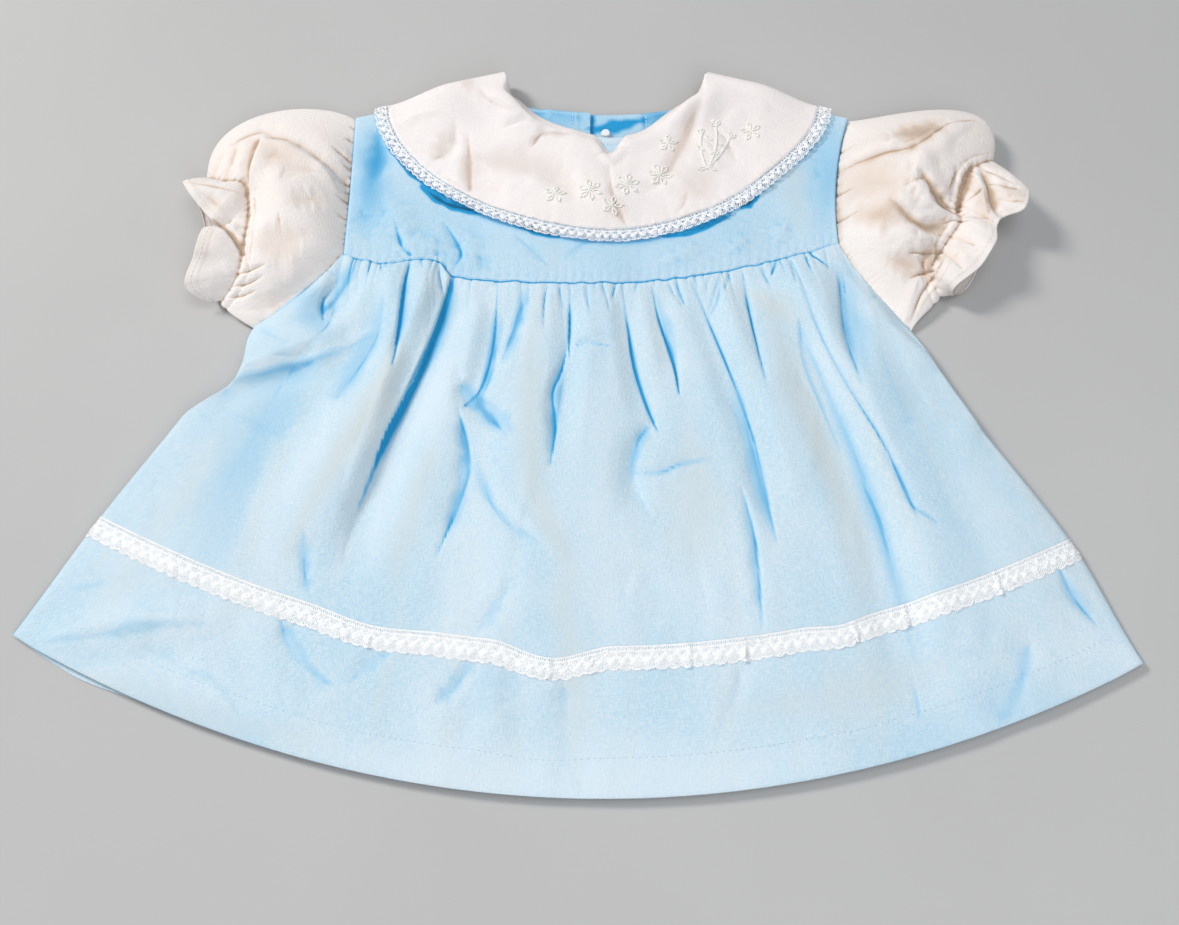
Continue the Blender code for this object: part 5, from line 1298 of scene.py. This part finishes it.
front_columns = np.flatnonzero(is_front[0] > 0)
collar_near = collar_points[2:-3, front_columns[EMBROIDERED]]
stitches = []
for x, y, size, turn, petals in FLOWERS:
    for petal in range(petals):
        angle = math.radians(turn + 360.0 * petal / petals)
        root_x = x + PETAL_ROOT * size * math.cos(angle)
        root_y = y + PETAL_ROOT * size * math.sin(angle)
        stitches += stitch_loop(root_x, root_y, angle, PETAL_LENGTH * size, PETAL_WIDTH * size, PETAL_LIFT)
    knot = np.linspace(0.0, 3.0 * math.pi, STITCH_POINTS)
    stitches.append((x + KNOT_RADIUS * size * np.cos(knot), y + KNOT_RADIUS * size * np.sin(knot), KNOT_LIFT))
for x, y, turn, length in SPRIG_LEAVES:
    stitches += stitch_loop(x, y, math.radians(turn), length, LEAF_WIDTH, LEAF_LIFT)
for x0, y0, x1, y1, bow in SPRIG_STEMS:
    line = bowed((x0, y0), (x1, y1), bow, np.linspace(0.0, 1.0, STITCH_POINTS))
    stitches.append((line[:, 0], line[:, 1], STEM_LIFT))
stitch_paths = np.array([np.stack([x, y, surface_height(collar_near, x, y) + lift], axis=-1)
                         for x, y, lift in stitches])
ivory_thread = cotton_thread("ivory embroidery thread", (0.95, 0.93, 0.88), (0.86, 0.83, 0.76))
embroidery = add_threads("collar_embroidery", [(stitch_paths, EMBROIDERY_THREAD)], ivory_thread,
                         sides=6)


# Lace band above the hem. The same kind of lace, about 10 mm wide, sewn flat on the front
# skirt along its heading, with small tucks where it eases round the curve.
HEM_LACE_TOP = 58.5
HEM_LACE_BOTTOM = 48.0
HEM_LACE_LIFT = 0.15
HEM_LACE_PITCH = 4.8
HEM_LACE_DOWN = 2.0 / 3.0
LACE_TUCK_HALF = 0.004
# share across, half width, how far the band sags there
LACE_SAGS = ((0.47, 0.06, 5.5), (0.3, 0.07, 2.5), (0.745, 0.04, 2))
# share across, how far the lace stands up there
LACE_TUCKS = ((0.6, 0.9), (0.652, 1.1), (0.757, 1), (0.808, 1.2), (0.9, 1), (0.3, 0.7), (0.47, 0.8))


def above_hem(across, up):
    """Distance down the skirt of a line that runs `up` above the hem and sags where the lace does."""
    sag = sum(depth * bump(across - middle, half) for middle, half, depth in LACE_SAGS)
    return skirt_length(across) - up + sag * up / HEM_LACE_TOP


band_widths = np.linspace(0.0, HEM_LACE_TOP - HEM_LACE_BOTTOM, 9)
across, down_band = np.meshgrid(np.linspace(0.0, 1.0, 1001), band_widths)
band_grid = skirt_surface(across, above_hem(across, HEM_LACE_TOP - down_band), skirt_creases)
band_roll = rolled(from_side(across, HEM_LACE_DOWN), SIDE_ROLL)
band_grid[..., 2] = SIDE_HEIGHT + (band_grid[..., 2] - SIDE_HEIGHT) * band_roll
tuck = sum(rise * bump(across - at, LACE_TUCK_HALF) for at, rise in LACE_TUCKS)
loose = down_band / band_widths[-1]
band_grid[..., 2] += HEM_LACE_LIFT + tuck * (0.3 + 0.7 * loose)
band_lengths = lengths_along(band_grid[4])
band_grid[..., 2] += np.maximum(0.25 * np.sin(band_lengths / 2.7) * np.sin(band_lengths / 8.3), -0.1) * loose
hem_lace = lace_band("hem_lace_net", band_grid, band_lengths, band_widths, HEM_LACE_PITCH,
                     openness=0.72, relief=0.42)
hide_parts("hem_lace")


# Neck finish and snap. A narrow bias strip of the blue cloth is turned inside the neckline,
# and a small white plastic snap closes the lapped back edges.
BINDING_WIDTH = 3.0
BINDING_CURVE = 40.0
BINDING_LIFT = 0.6
# The part of the neckline that it is seen on, in half turns
BINDING_SPAN = (1.18, 1.82)
angle, inset = np.meshgrid(np.linspace(*BINDING_SPAN, 121) * math.pi,
                           np.linspace(BINDING_WIDTH, -NECK_SEAM + 2.0 * GAP, 7))
binding_plan = neck_edge(angle, NECK_DEPTH)
binding_plan += unit(np.array([NECK_X, NECK_Y]) - binding_plan) * inset[..., None]
binding_points = with_height(binding_plan, front_level(binding_plan) + BINDING_LIFT)
binding_flat = np.stack([angle * BINDING_CURVE, inset], axis=-1)
binding = cloth_sheet("neck_binding_cloth", binding_points, binding_flat, blue_cloth)
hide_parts("neck_binding")

snap_material = mottled("white snap plastic", 0.35, 400.0, (0.80, 0.81, 0.82), (0.88, 0.89, 0.90))[0]
snap_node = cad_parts["back_snap"]
snap_node.data.materials.clear()
snap_node.data.materials.append(snap_material)


# Sleeves. Ivory cotton, gathered a little into the armhole and drawn in by elastic in a
# sewn casing, past which the cloth flares in a ruffle with a narrow stitched hem.
# Rows run round the ring from the shoulder fold over the front to the underarm and back.
SLEEVE_AROUND = 32
SLEEVE_ALONG = 100
SLEEVE_FLAT_WIDTH = 290.0
SLEEVE_SEAM_DROP = 0.8
SLEEVE_LOWEST = 0.1
SLEEVE_SMALL_FOLDS = {
    "left": (22, (-180.0, -125.0, 50.0, 140.0), 0.0, 0.45),
    "right": (22, (125.0, 180.0, 50.0, 140.0), 0.0, 0.45),
}
# The ring opens at the tenth row of the table, where the sleeve lies on its back
SLEEVE_SEAM_ROW = 9
CAP_GATHERS = 46
CAP_HEIGHT = 0.5
CAP_FADE = 4.0
ELASTIC_GATHERS = 34
ELASTIC_HEIGHT = 0.825
ELASTIC_FADE = 5.0
RUFFLE_ALONG = 36
RUFFLE_SWELL = 1.6
RUFFLE_FLUTES = 7.0
FLUTE_HEIGHT = 0.9
CASING_WIDTH = 5.0
CASING_RIDGE = 0.4
CASING_GROOVE = 0.35
CASING_GROOVE_HALF = 0.9
CASING_TOP = {"left": 98.0, "right": 124.0}
RUFFLE_HEM = 3.0
RUFFLE_HEM_RIDGE = 0.25
RUFFLE_HEM_AT = 0.72
# The ruffle's turned edge: its share of the way back, how far it dips, and its flat length
RUFFLE_TURN = ((0.1, 0.35, 0.5), (0.9, 0.5, 2.0))
SLEEVE_STITCH = 2.3
SLEEVE_STITCH_LIFTS = (-0.02, 0.1, 0.1, -0.02)
SLEEVE_THREAD = 0.12
# How much of each stitch's pitch the thread lies over
SLEEVE_STITCH_PART = 0.62
# armhole share, front share, first third x y z, second third x y z, elastic x y z, edge x y z
SLEEVE_LINES = {
    "left": (
        (0, 0.5, -136, 154, 5, -166, 142.5, 6.5, -176.5, 111, 7, -186, 106, 12),
        (0.15, 1, -128, 130, 12, -150, 124, 15, -167, 107, 11.5, -179, 95, 16),
        (0.32, 1, -125, 108, 14.5, -142, 107, 17.5, -157, 105, 11.5, -169, 83.5, 13.5),
        (0.45, 1, -124, 90, 14.5, -139, 92, 17, -154.5, 94, 8, -164, 80.5, 9),
        (0.58, 1, -124, 74, 13.5, -140, 77, 16, -153.5, 80, 9.5, -171, 79, 14),
        (0.72, 1, -131, 61, 11.5, -143, 65, 14, -153.5, 67, 10.5, -173, 64, 17),
        (0.86, 1, -140, 49.5, 8, -149, 53, 9.5, -155.5, 55.5, 9, -177, 49.5, 11),
        (1, 0.5, -153.5, 37, 3, -159, 41, 3.5, -163, 46, 3.8, -167.5, 45, 4.4),
        (0.85, 0, -141, 50, 0.3, -151, 54, 0, -161.5, 58, 0.2, -170, 56, 0.6),
        (0.6, 0, -126, 74, 0.2, -145, 76, 0, -165, 75, 0.2, -174, 73, 0.8),
        (0.35, 0, -128, 104, 0.2, -148, 100, 0, -169, 92, 0.2, -177, 89, 1.2),
        (0.12, 0, -131, 134, 0.2, -155, 126, 0, -174, 104, 0.8, -180, 98, 4),
    ),
    "right": (
        (0, 0.5, 160, 151.5, 5, 192.5, 149, 7.5, 198.5, 120, 8.5, 210, 98.5, 16),
        (0.15, 1, 147, 131, 14, 170, 130, 18, 186, 112.5, 13, 205.5, 86.5, 17.5),
        (0.3, 1, 143, 112, 17, 163, 112, 19.5, 181, 104, 13, 197.5, 84.5, 15),
        (0.45, 1, 141, 94, 18, 160, 95.5, 19, 178, 94, 9, 192.5, 79, 16),
        (0.58, 1, 140, 80, 16.5, 158, 83, 17, 177.5, 84, 12, 190, 69, 18.5),
        (0.72, 1, 143, 65.5, 12.5, 156, 70, 14, 169.5, 72.5, 9.5, 182, 57.5, 15),
        (0.86, 1, 148.5, 52, 8, 156, 57, 9.5, 162.5, 60.5, 8.5, 171.5, 49.5, 11),
        (1, 0.5, 156, 37.5, 3, 161, 42.5, 3.5, 166, 48.5, 3.8, 173, 49, 4),
        (0.85, 0, 150, 51, 0.3, 158, 55, 0, 169, 60, 0.2, 181, 55.5, 0.8),
        (0.6, 0, 142, 80, 0.2, 160, 78.5, 0, 178, 77, 0.2, 187.5, 67, 1),
        (0.35, 0, 145, 106, 0.2, 166, 103, 0, 186, 96.5, 0.2, 196, 86, 1.6),
        (0.12, 0, 152, 134, 0.2, 178, 131, 0, 194.5, 111, 0.8, 204, 94, 6),
    ),
}
SLEEVE_FOLDS = {
    "left": (
        ("long fold", 2.2, 5, -1.5, -165, 128, -152, 135, -145, 131, -135, 128.5, -121, 118.5, -111.5, 110,
         -107.5, 96),
        ("long fold bank", 4, 2, 1.2, -152, 130, -136, 124.5, -121, 114, -113, 102),
        ("upright fold", 3.4, 1.4, -1.5, -151.5, 132, -154, 116, -155.5, 98),
        ("upright ridge", 1.4, 4, 1.1, -151, 128, -152, 115, -153.5, 100),
        ("side fold", 3, 3.4, -1.1, -162.5, 130, -163.5, 118, -166.5, 104),
        ("outer fold", 2.6, 2.6, -0.8, -169.5, 124, -172, 115, -174, 107),
        ("seam tuck one", 0.9, 1.3, -1, -113, 136.5, -108, 134.5, -103, 133),
        ("seam tuck two", 1, 1.6, -1.2, -118, 128.5, -111, 124, -103, 119.5),
        ("seam tuck three", 0.9, 1.4, -0.9, -113, 121, -108, 117, -103, 114),
        ("seam tuck four", 0.9, 1.4, -1, -112.5, 112.5, -108, 109, -103, 106),
        ("seam tuck five", 0.9, 1.3, -1.1, -114, 101, -109, 100, -103, 98),
        ("seam tuck six", 0.9, 1.3, -1, -113, 92, -109, 90.5, -103, 90),
        ("seam tuck seven", 0.9, 1.4, -0.8, -112, 144.5, -108, 143, -104, 142),
        ("upper hollow", 8, 8, -1.3, -148, 117, -134, 116, -124, 110),
        ("lower hollow", 6, 7, -1.7, -147, 72, -136, 71, -126, 74),
        ("middle hollow", 4, 4, -1, -132, 92, -118, 97),
        ("casing tuck one", 0.9, 1.2, -1.3, -156.5, 57, -150, 57.5, -142, 60),
        ("casing tuck two", 0.9, 1.2, -1.2, -157, 51.5, -150, 52, -143, 55),
        ("casing tuck three", 0.9, 1.1, -1, -158.5, 46.5, -152, 47, -146, 49),
        ("casing tuck four", 0.9, 1.2, -1.2, -153.5, 69, -151.5, 64, -149.5, 58),
        ("low fold", 2.4, 4, -1.2, -151, 40.5, -139, 43, -129, 50, -119, 56),
        ("edge fold", 1, 2, -1.2, -151.5, 96, -152, 84, -151, 72),
        ("ruffle fold", 1, 2.8, -1.8, -170, 84.5, -162.5, 79, -157.2, 73.6, -153.8, 67),
        ("ruffle bank", 3, 1.4, 1.2, -166, 85, -159.5, 81, -154.5, 75),
        ("ruffle dip", 3.6, 3.6, -0.5, -181, 97, -171, 93, -160, 90),
        ("lower ruffle dip", 3.4, 3.6, -0.6, -172, 74, -166, 64, -160, 56),
    ),
    "right": (
        ("long fold", 4, 1.2, -2, 122, 117, 133, 119.5, 150, 120.5, 161, 123.5, 170, 131, 177, 137, 192,
         142.5),
        ("long fold bank", 1.6, 5, 1.2, 124, 121, 134, 123, 150, 124, 160, 128),
        ("flap hollow", 5, 5, -1.6, 150, 128, 162, 130, 174, 138),
        ("flap edge", 1, 3, 0.9, 148, 136, 149.5, 128, 147, 121),
        ("crown ridge", 5, 3, 1.9, 155, 104, 160, 114, 166, 123, 179, 136, 190, 140),
        ("armhole fold", 1, 2, -1.1, 112, 102, 122, 103.3, 129, 105),
        ("armhole tuck", 0.6, 1.2, -1, 114, 88, 122, 88.5, 130, 90),
        ("armhole tuck two", 0.6, 1.2, -1, 118, 128, 126, 128.5, 134, 131),
        ("crossing fold", 1.4, 2.4, -1.3, 150.7, 98.3, 157, 101.5, 162, 104),
        ("knot ridge", 1.6, 1.6, 1.2, 158, 92, 166, 88, 176, 85),
        ("knot side fold", 1, 2, -1.6, 178, 112, 176, 104, 172, 97),
        ("low tuck one", 0.6, 1.4, -1.4, 152, 66, 158, 66.5, 167, 68),
        ("low tuck two", 0.6, 1.4, -1.4, 152, 55, 158, 57.5, 165, 60),
        ("deep fold", 3, 2.2, -3.2, 160, 106, 165, 99, 169, 94, 177, 88),
        ("deep fold bank", 4, 3, 2, 153, 100, 160, 96, 168, 88),
        ("curved fold", 3, 2.4, -2.8, 146, 90, 152, 83.5, 159, 79.5, 166, 80.5, 171, 85.5),
        ("curved fold bank", 4, 3, 1.5, 146, 78, 156, 72, 163, 75),
        ("left hollow", 8, 8, -1.8, 127, 110, 139, 103, 150, 98),
        ("left lower hollow", 6, 6, -1.5, 127, 88, 140, 85, 150, 82),
        ("casing fold", 2.4, 1.6, -2.6, 163, 73, 159.5, 64, 161, 52),
        ("low hollow", 4, 4, -1.3, 141, 64, 159, 59),
        ("low ridge", 3, 2, 1, 155, 54, 150, 40, 148, 30),
        ("knot tuck one", 0.9, 1.2, -1.6, 170, 96, 175, 92, 180, 91),
        ("knot tuck two", 0.9, 1.2, -1.6, 170, 82, 175, 84, 181, 83.5),
        ("knot tuck three", 0.8, 1.1, -1.3, 172, 88.5, 176, 88, 181, 88),
        ("wing fold", 1.4, 3.4, -2.4, 189.6, 112, 190.6, 105, 191.3, 97.5, 192.7, 86),
        ("wing bank", 3, 1.4, 1.6, 187, 108, 188.5, 98, 189, 88),
        ("wing tuck one", 1.2, 2.2, -1.3, 191, 112.6, 197.3, 107.5, 203, 102),
        ("wing tuck two", 1.2, 2.2, -1.2, 192, 103, 198.5, 99.7, 205.2, 97.5),
        ("wing tuck three", 1.2, 2, -0.9, 194, 94, 200, 91, 206, 90),
        ("casing dark", 1.6, 2.2, -2, 187, 116, 182.2, 106.4, 179.8, 98, 176.8, 89.6),
        ("band tuck one", 1, 1.8, -1.2, 181, 94.9, 186, 97.1, 190.1, 100.4),
        ("band tuck two", 1, 1.8, -1.1, 179, 86.1, 184.4, 85, 189.6, 82.8),
        ("band tuck three", 1, 1.8, -1.3, 174.1, 76.3, 177.2, 72, 181.2, 67.7),
        ("band tuck four", 1.4, 2.6, -1.6, 166.5, 70.1, 170.5, 64.8, 174.1, 57.4),
        ("band swell", 2.4, 3, 1.3, 171, 71, 175, 66, 179, 60),
        ("casing strip", 0.9, 1.6, -1, 168, 64, 161.7, 54.9, 156.3, 47.5, 152, 37),
    ),
}
# Painted shade in the sleeves' hollows and folds, and along the left flap's hem line
SLEEVE_SHADES = {
    "left": (
        ("upper hollow shade", 8, 8, 0.22, -152, 118, -138, 117, -124, 108),
        ("lower hollow shade", 8, 8, 0.26, -148, 74, -138, 71, -122, 76),
        ("middle shade", 4, 4, 0.2, -136, 90, -126, 93, -112, 99),
        ("upright shade", 3, 1, 0.3, -154, 128, -156, 102),
        ("side shade", 2, 2, 0.3, -163, 128, -166.5, 107),
        ("seam shade", 1.6, 1.6, 0.2, -109, 138, -108, 96),
        ("low shade", 3, 3, 0.22, -148, 41, -130, 49),
        ("lobe shade", 4, 4, 0.2, -176, 96, -168, 91, -160, 90),
        ("flap hem line", 0.7, 0.7, 0.8, -184.6, 104.1, -176.4, 101.9, -169.2, 100.8, -162.1, 99.6, -156,
         99.3),
        ("ruffle fold shade", 0.9, 1.6, 0.9, -169, 84, -162.5, 79.4, -157.2, 73.8, -153.8, 67),
        ("ruffle edge shade", 1.4, 0.8, 0.5, -155.6, 101.5, -153.3, 93.7, -153.1, 80.5, -153.4, 67.5, -152.7,
         61.2),
        ("lower flap shade", 5, 6, 0.18, -170.5, 80, -171.6, 71.4, -171, 57.6),
        ("crown shade", 6, 6, 0.18, -162, 132, -150, 124, -132, 120),
    ),
    "right": (
        ("flap shade", 6, 6, 0.75, 150, 128, 163, 131, 175, 138),
        ("left shade", 12, 12, 0.4, 124.7, 114, 137.3, 106, 152, 97),
        ("casing dark shade", 1.4, 2.2, 0.8, 187, 116, 182.2, 106.4, 179.8, 98, 176.8, 89.6),
        ("wing fold shade", 0.9, 2.4, 0.9, 190, 111, 191.3, 97.5, 192.7, 85.5),
        ("wing shade", 4, 4, 0.35, 196, 100.6, 201, 95.1, 206.2, 91.9),
        ("band shade", 3, 3, 0.4, 185.9, 103.8, 188.3, 89.9, 187.6, 75.2),
        ("lower opening", 1.2, 2, 0.9, 164.2, 72.9, 164.7, 68.2, 165.8, 61.8),
        ("casing strip one", 0.7, 0.7, 0.6, 168.5, 65.6, 161.7, 54.9, 156.3, 47.5, 151, 36),
        ("casing strip two", 0.7, 0.7, 0.45, 171.5, 63.6, 165.2, 53.9, 159.2, 46.5, 154, 37),
        ("left lower shade", 6, 6, 0.55, 128, 88, 150, 82),
        ("deep shade", 3, 2.4, 0.7, 161, 105, 168, 95, 177, 88),
        ("curved shade", 3, 2.4, 0.65, 147, 89, 157, 80, 166, 80, 171, 85),
        ("casing shade", 3, 2, 0.7, 163, 72, 160, 54),
        ("low shade", 5, 5, 0.5, 141, 64, 159, 59),
        ("seam shade", 1.6, 1.6, 0.25, 121, 120, 124, 78),
    ),
}


def through(points, count):
    """A smooth closed curve through rows of numbers, with `count` steps from one row to the next."""
    points = np.asarray(points, float)
    before, after, beyond = (np.roll(points, shift, axis=0) for shift in (1, -1, -2))
    rows = [spline(before, points, after, beyond, step / count) for step in range(count)]
    return np.stack(rows, axis=1).reshape(-1, points.shape[1])


def sleeve_surface(side):
    """The sleeve's outside as rows along it and columns round it, before its fine folds."""
    smoothed = np.roll(through(SLEEVE_LINES[side], SLEEVE_AROUND), -SLEEVE_SEAM_ROW * SLEEVE_AROUND, axis=0)
    smoothed = np.concatenate([smoothed, smoothed[:1]])
    hole_share, front = np.clip(smoothed[:, :2], 0.0, 1.0).T
    first, second, elastic, edge = smoothed[:, 2:].reshape(-1, 4, 3).transpose(1, 0, 2)
    start = armhole(side, hole_share)
    low = LAYER * level_rise(start[:, 1])
    high = front_level(start) + WALL - SLEEVE_SEAM_DROP
    start = with_height(start, low + (high - low) * front)
    rings = []
    for t in np.linspace(0.0, 3.0, SLEEVE_ALONG):
        rings.append((1.0 - t) * (t - 2.0) * (t - 3.0) / 6.0 * start + t * (t - 2.0) * (t - 3.0) / 2.0 * first
                     - t * (t - 1.0) * (t - 3.0) / 2.0 * second + t * (t - 1.0) * (t - 2.0) / 6.0 * elastic)
    for t in np.linspace(0.0, 1.0, RUFFLE_ALONG)[1:]:
        flare = elastic + (edge - elastic) * t
        flare[:, 2] += RUFFLE_SWELL * math.sin(math.pi * t) * smooth((edge[:, 2] - 4.0) / 6.0)
        rings.append(flare)
    return np.array(rings), front


def outward_normals(points):
    along = np.gradient(points, axis=0)
    around = np.gradient(points, axis=1)
    around[:, 0] = around[:, -1] = points[:, 1] - points[:, -2]
    normal = unit(np.cross(along, around))
    centre = points[:, :-1].mean(axis=1, keepdims=True)
    return normal * np.sign((normal * (points - centre)).sum(axis=-1).mean())


def line_of_stitches(points, lengths, reach, seen, low_of):
    """Stitches along the line at `reach` down each seen column of a grid, where it is below `low_of`."""
    columns = np.arange(len(reach))
    row = np.array([np.interp(reach[k], lengths[:, k], np.arange(len(lengths))) for k in columns])
    near = row.astype(int)
    after = np.minimum(near + 1, len(lengths) - 1)
    part = (row - near)[:, None]
    line = (1.0 - part) * points[near, columns] + part * points[after, columns]
    line = line[seen & (line[:, 1] < low_of)]
    line_lengths = lengths_along(line)
    at = (np.arange(0.5, line_lengths[-1] - SLEEVE_STITCH, SLEEVE_STITCH)[:, None]
          + np.linspace(0.0, SLEEVE_STITCH_PART * SLEEVE_STITCH, 4))
    path = np.stack([np.interp(at, line_lengths, line[:, axis]) for axis in range(3)], axis=-1)
    path[..., 2] += SLEEVE_STITCH_LIFTS
    return path


# The last two colours are painted shade: a soft one, and a deep one for creases
ivory_cloth = plain_weave("ivory sleeve cotton", (0.91, 0.86, 0.83), (0.85, 0.755, 0.70), (0.86, 0.78, 0.73),
                          (0.74, 0.60, 0.50), (0.47, 0.34, 0.24))
sleeve_stitches = []
for side in SIDE_SIGN:
    sleeve_points, front = sleeve_surface(side)
    sleeve_chance = np.random.default_rng(CLOTH_SEED + 7 + len(side))
    around = np.broadcast_to(np.linspace(0.0, 1.0, sleeve_points.shape[1]), sleeve_points.shape[:2])
    past = np.concatenate([np.zeros(SLEEVE_ALONG), np.linspace(0.0, 1.0, RUFFLE_ALONG)[1:]])[:, None]
    length_down = lengths_along(sleeve_points)
    to_elastic = length_down[SLEEVE_ALONG - 1] - length_down
    cap = CAP_HEIGHT * gathered(around, length_down, CAP_GATHERS, CAP_FADE, sleeve_chance)
    drawn = gathered(around, np.abs(to_elastic), ELASTIC_GATHERS, ELASTIC_FADE, sleeve_chance)
    slip = np.interp(around, np.linspace(0.0, 1.0, 13), np.append(sleeve_chance.normal(0.0, 0.7, 12), 0.0))
    flutes = FLUTE_HEIGHT * past * np.sin(2.0 * math.pi * RUFFLE_FLUTES * around + slip) * (0.5 + 0.5 * front)
    sleeve_folds = SLEEVE_FOLDS[side] + small_folds(sleeve_chance, *SLEEVE_SMALL_FOLDS[side])
    folds = crease_height(sleeve_points, sleeve_folds)
    folds *= smooth((front - 0.4) / 0.4) * smooth((length_down + 2.0) / 4.0)
    casing = CASING_RIDGE * bump(to_elastic - 0.5 * CASING_WIDTH, 0.5 * CASING_WIDTH)
    for line in (0.0, CASING_WIDTH):
        casing -= CASING_GROOVE * np.exp(-((to_elastic - line) / CASING_GROOVE_HALF) ** 2)
    casing *= 0.15 + 0.85 * smooth((CASING_TOP[side] - sleeve_points[..., 1]) / 6.0)
    hem_ridge = RUFFLE_HEM_RIDGE * smooth((past - RUFFLE_HEM_AT) / 0.05)
    pulled = cap + ELASTIC_HEIGHT * drawn + flutes
    relief = pulled * (0.35 + 0.65 * front) + folds + casing + hem_ridge
    sleeve_points = sleeve_points + outward_normals(sleeve_points) * relief[..., None]
    sleeve_points[..., 2] = np.maximum(sleeve_points[..., 2], SLEEVE_LOWEST)
    at_elastic = length_down[SLEEVE_ALONG - 1]
    sleeve_stitches.append([])
    for reach, low_of in ((length_down[-1] - RUFFLE_HEM, math.inf), (at_elastic, CASING_TOP[side]),
                          (at_elastic - CASING_WIDTH, CASING_TOP[side])):
        path = line_of_stitches(sleeve_points, length_down, reach, front > 0.3, low_of)
        sleeve_stitches[-1].append((path, SLEEVE_THREAD))
    sleeve_flat = np.stack([around * SLEEVE_FLAT_WIDTH, length_down], axis=-1)
    last = len(sleeve_points) - 1
    inward = sleeve_points[last - 2] - sleeve_points[last]
    for share, dip, turned in RUFFLE_TURN:
        rim = sleeve_points[last] + inward * share
        rim[:, 2] = np.maximum(rim[:, 2] - dip * (2.0 * front - 1.0), 0.08)
        sleeve_points = np.concatenate([sleeve_points, rim[None]])
        sleeve_flat = np.concatenate([sleeve_flat, sleeve_flat[last][None] + (0.0, turned)])
    if side == "right":
        sleeve_points = sleeve_points[:, ::-1]
        sleeve_flat = sleeve_flat[:, ::-1]
    sleeve = cloth_sheet(f"sleeve_{side}_cloth", sleeve_points, sleeve_flat, ivory_cloth,
                         SLEEVE_SHADES[side])
    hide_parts(f"sleeve_{side}")
sleeve_thread = cotton_thread("ivory sewing thread", (0.84, 0.76, 0.70), (0.74, 0.64, 0.57))
sleeve_stitching = [add_threads(f"sleeve_{side}_stitching", batches, sleeve_thread,
                                sides=4)
                    for side, batches in zip(SIDE_SIGN, sleeve_stitches)]


# Sewing. A line of small stitches holds the turned-up hem, and rows of stitches edge the
# two facings inside the back of the neck.
HEM_STITCH = 2.6
HEM_STITCH_UP = 15.0
HEM_STITCH_SPAN = (0.012, 0.988)
HEM_STITCH_PART = 0.55
HEM_STITCH_LIFTS = (-0.12, 0.1, 0.1, -0.12)
HEM_THREAD = 0.11
FACING_STITCH = 2.1
FACING_STITCH_LIFTS = (-0.1, 0.12, 0.12, -0.1)
FACING_THREAD = 0.13
FACING_LOW_Y = 138.0
FACING_HIGH_Y = 152.0
# which half, x of its row of stitches
FACING_ROWS = ((0, -2.6), (1, 33.6))
stitch_across = np.linspace(*HEM_STITCH_SPAN, int(2.0 * HEM_HALF / HEM_STITCH))
stitch_part = np.linspace(0.0, HEM_STITCH_PART, 4) * (stitch_across[1] - stitch_across[0])
stitch_share = stitch_across[:, None] + stitch_part
hem_stitches = skirt_surface(stitch_share, above_hem(stitch_share, HEM_STITCH_UP), skirt_creases)
hem_stitches[..., 2] += HEM_STITCH_LIFTS
blue_thread = cotton_thread("pale blue sewing thread", (0.62, 0.78, 0.86), (0.50, 0.70, 0.82))
hem_stitching = add_threads("hem_stitching", [(hem_stitches, HEM_THREAD)], blue_thread,
                             sides=3)
facing_y = np.arange(FACING_LOW_Y, FACING_HIGH_Y, FACING_STITCH)[:, None] + np.linspace(0.0, 1.3, 4)
for half, x in FACING_ROWS:
    facing_x = np.full_like(facing_y, x)
    facing_z = surface_height(back_grids[half], facing_x, facing_y) + FACING_STITCH_LIFTS
    facing_path = np.stack([facing_x, facing_y, facing_z], axis=-1)
    add_threads(f"facing_stitching_{half + 1}", [(facing_path, FACING_THREAD)],
                                        white_thread, sides=4)
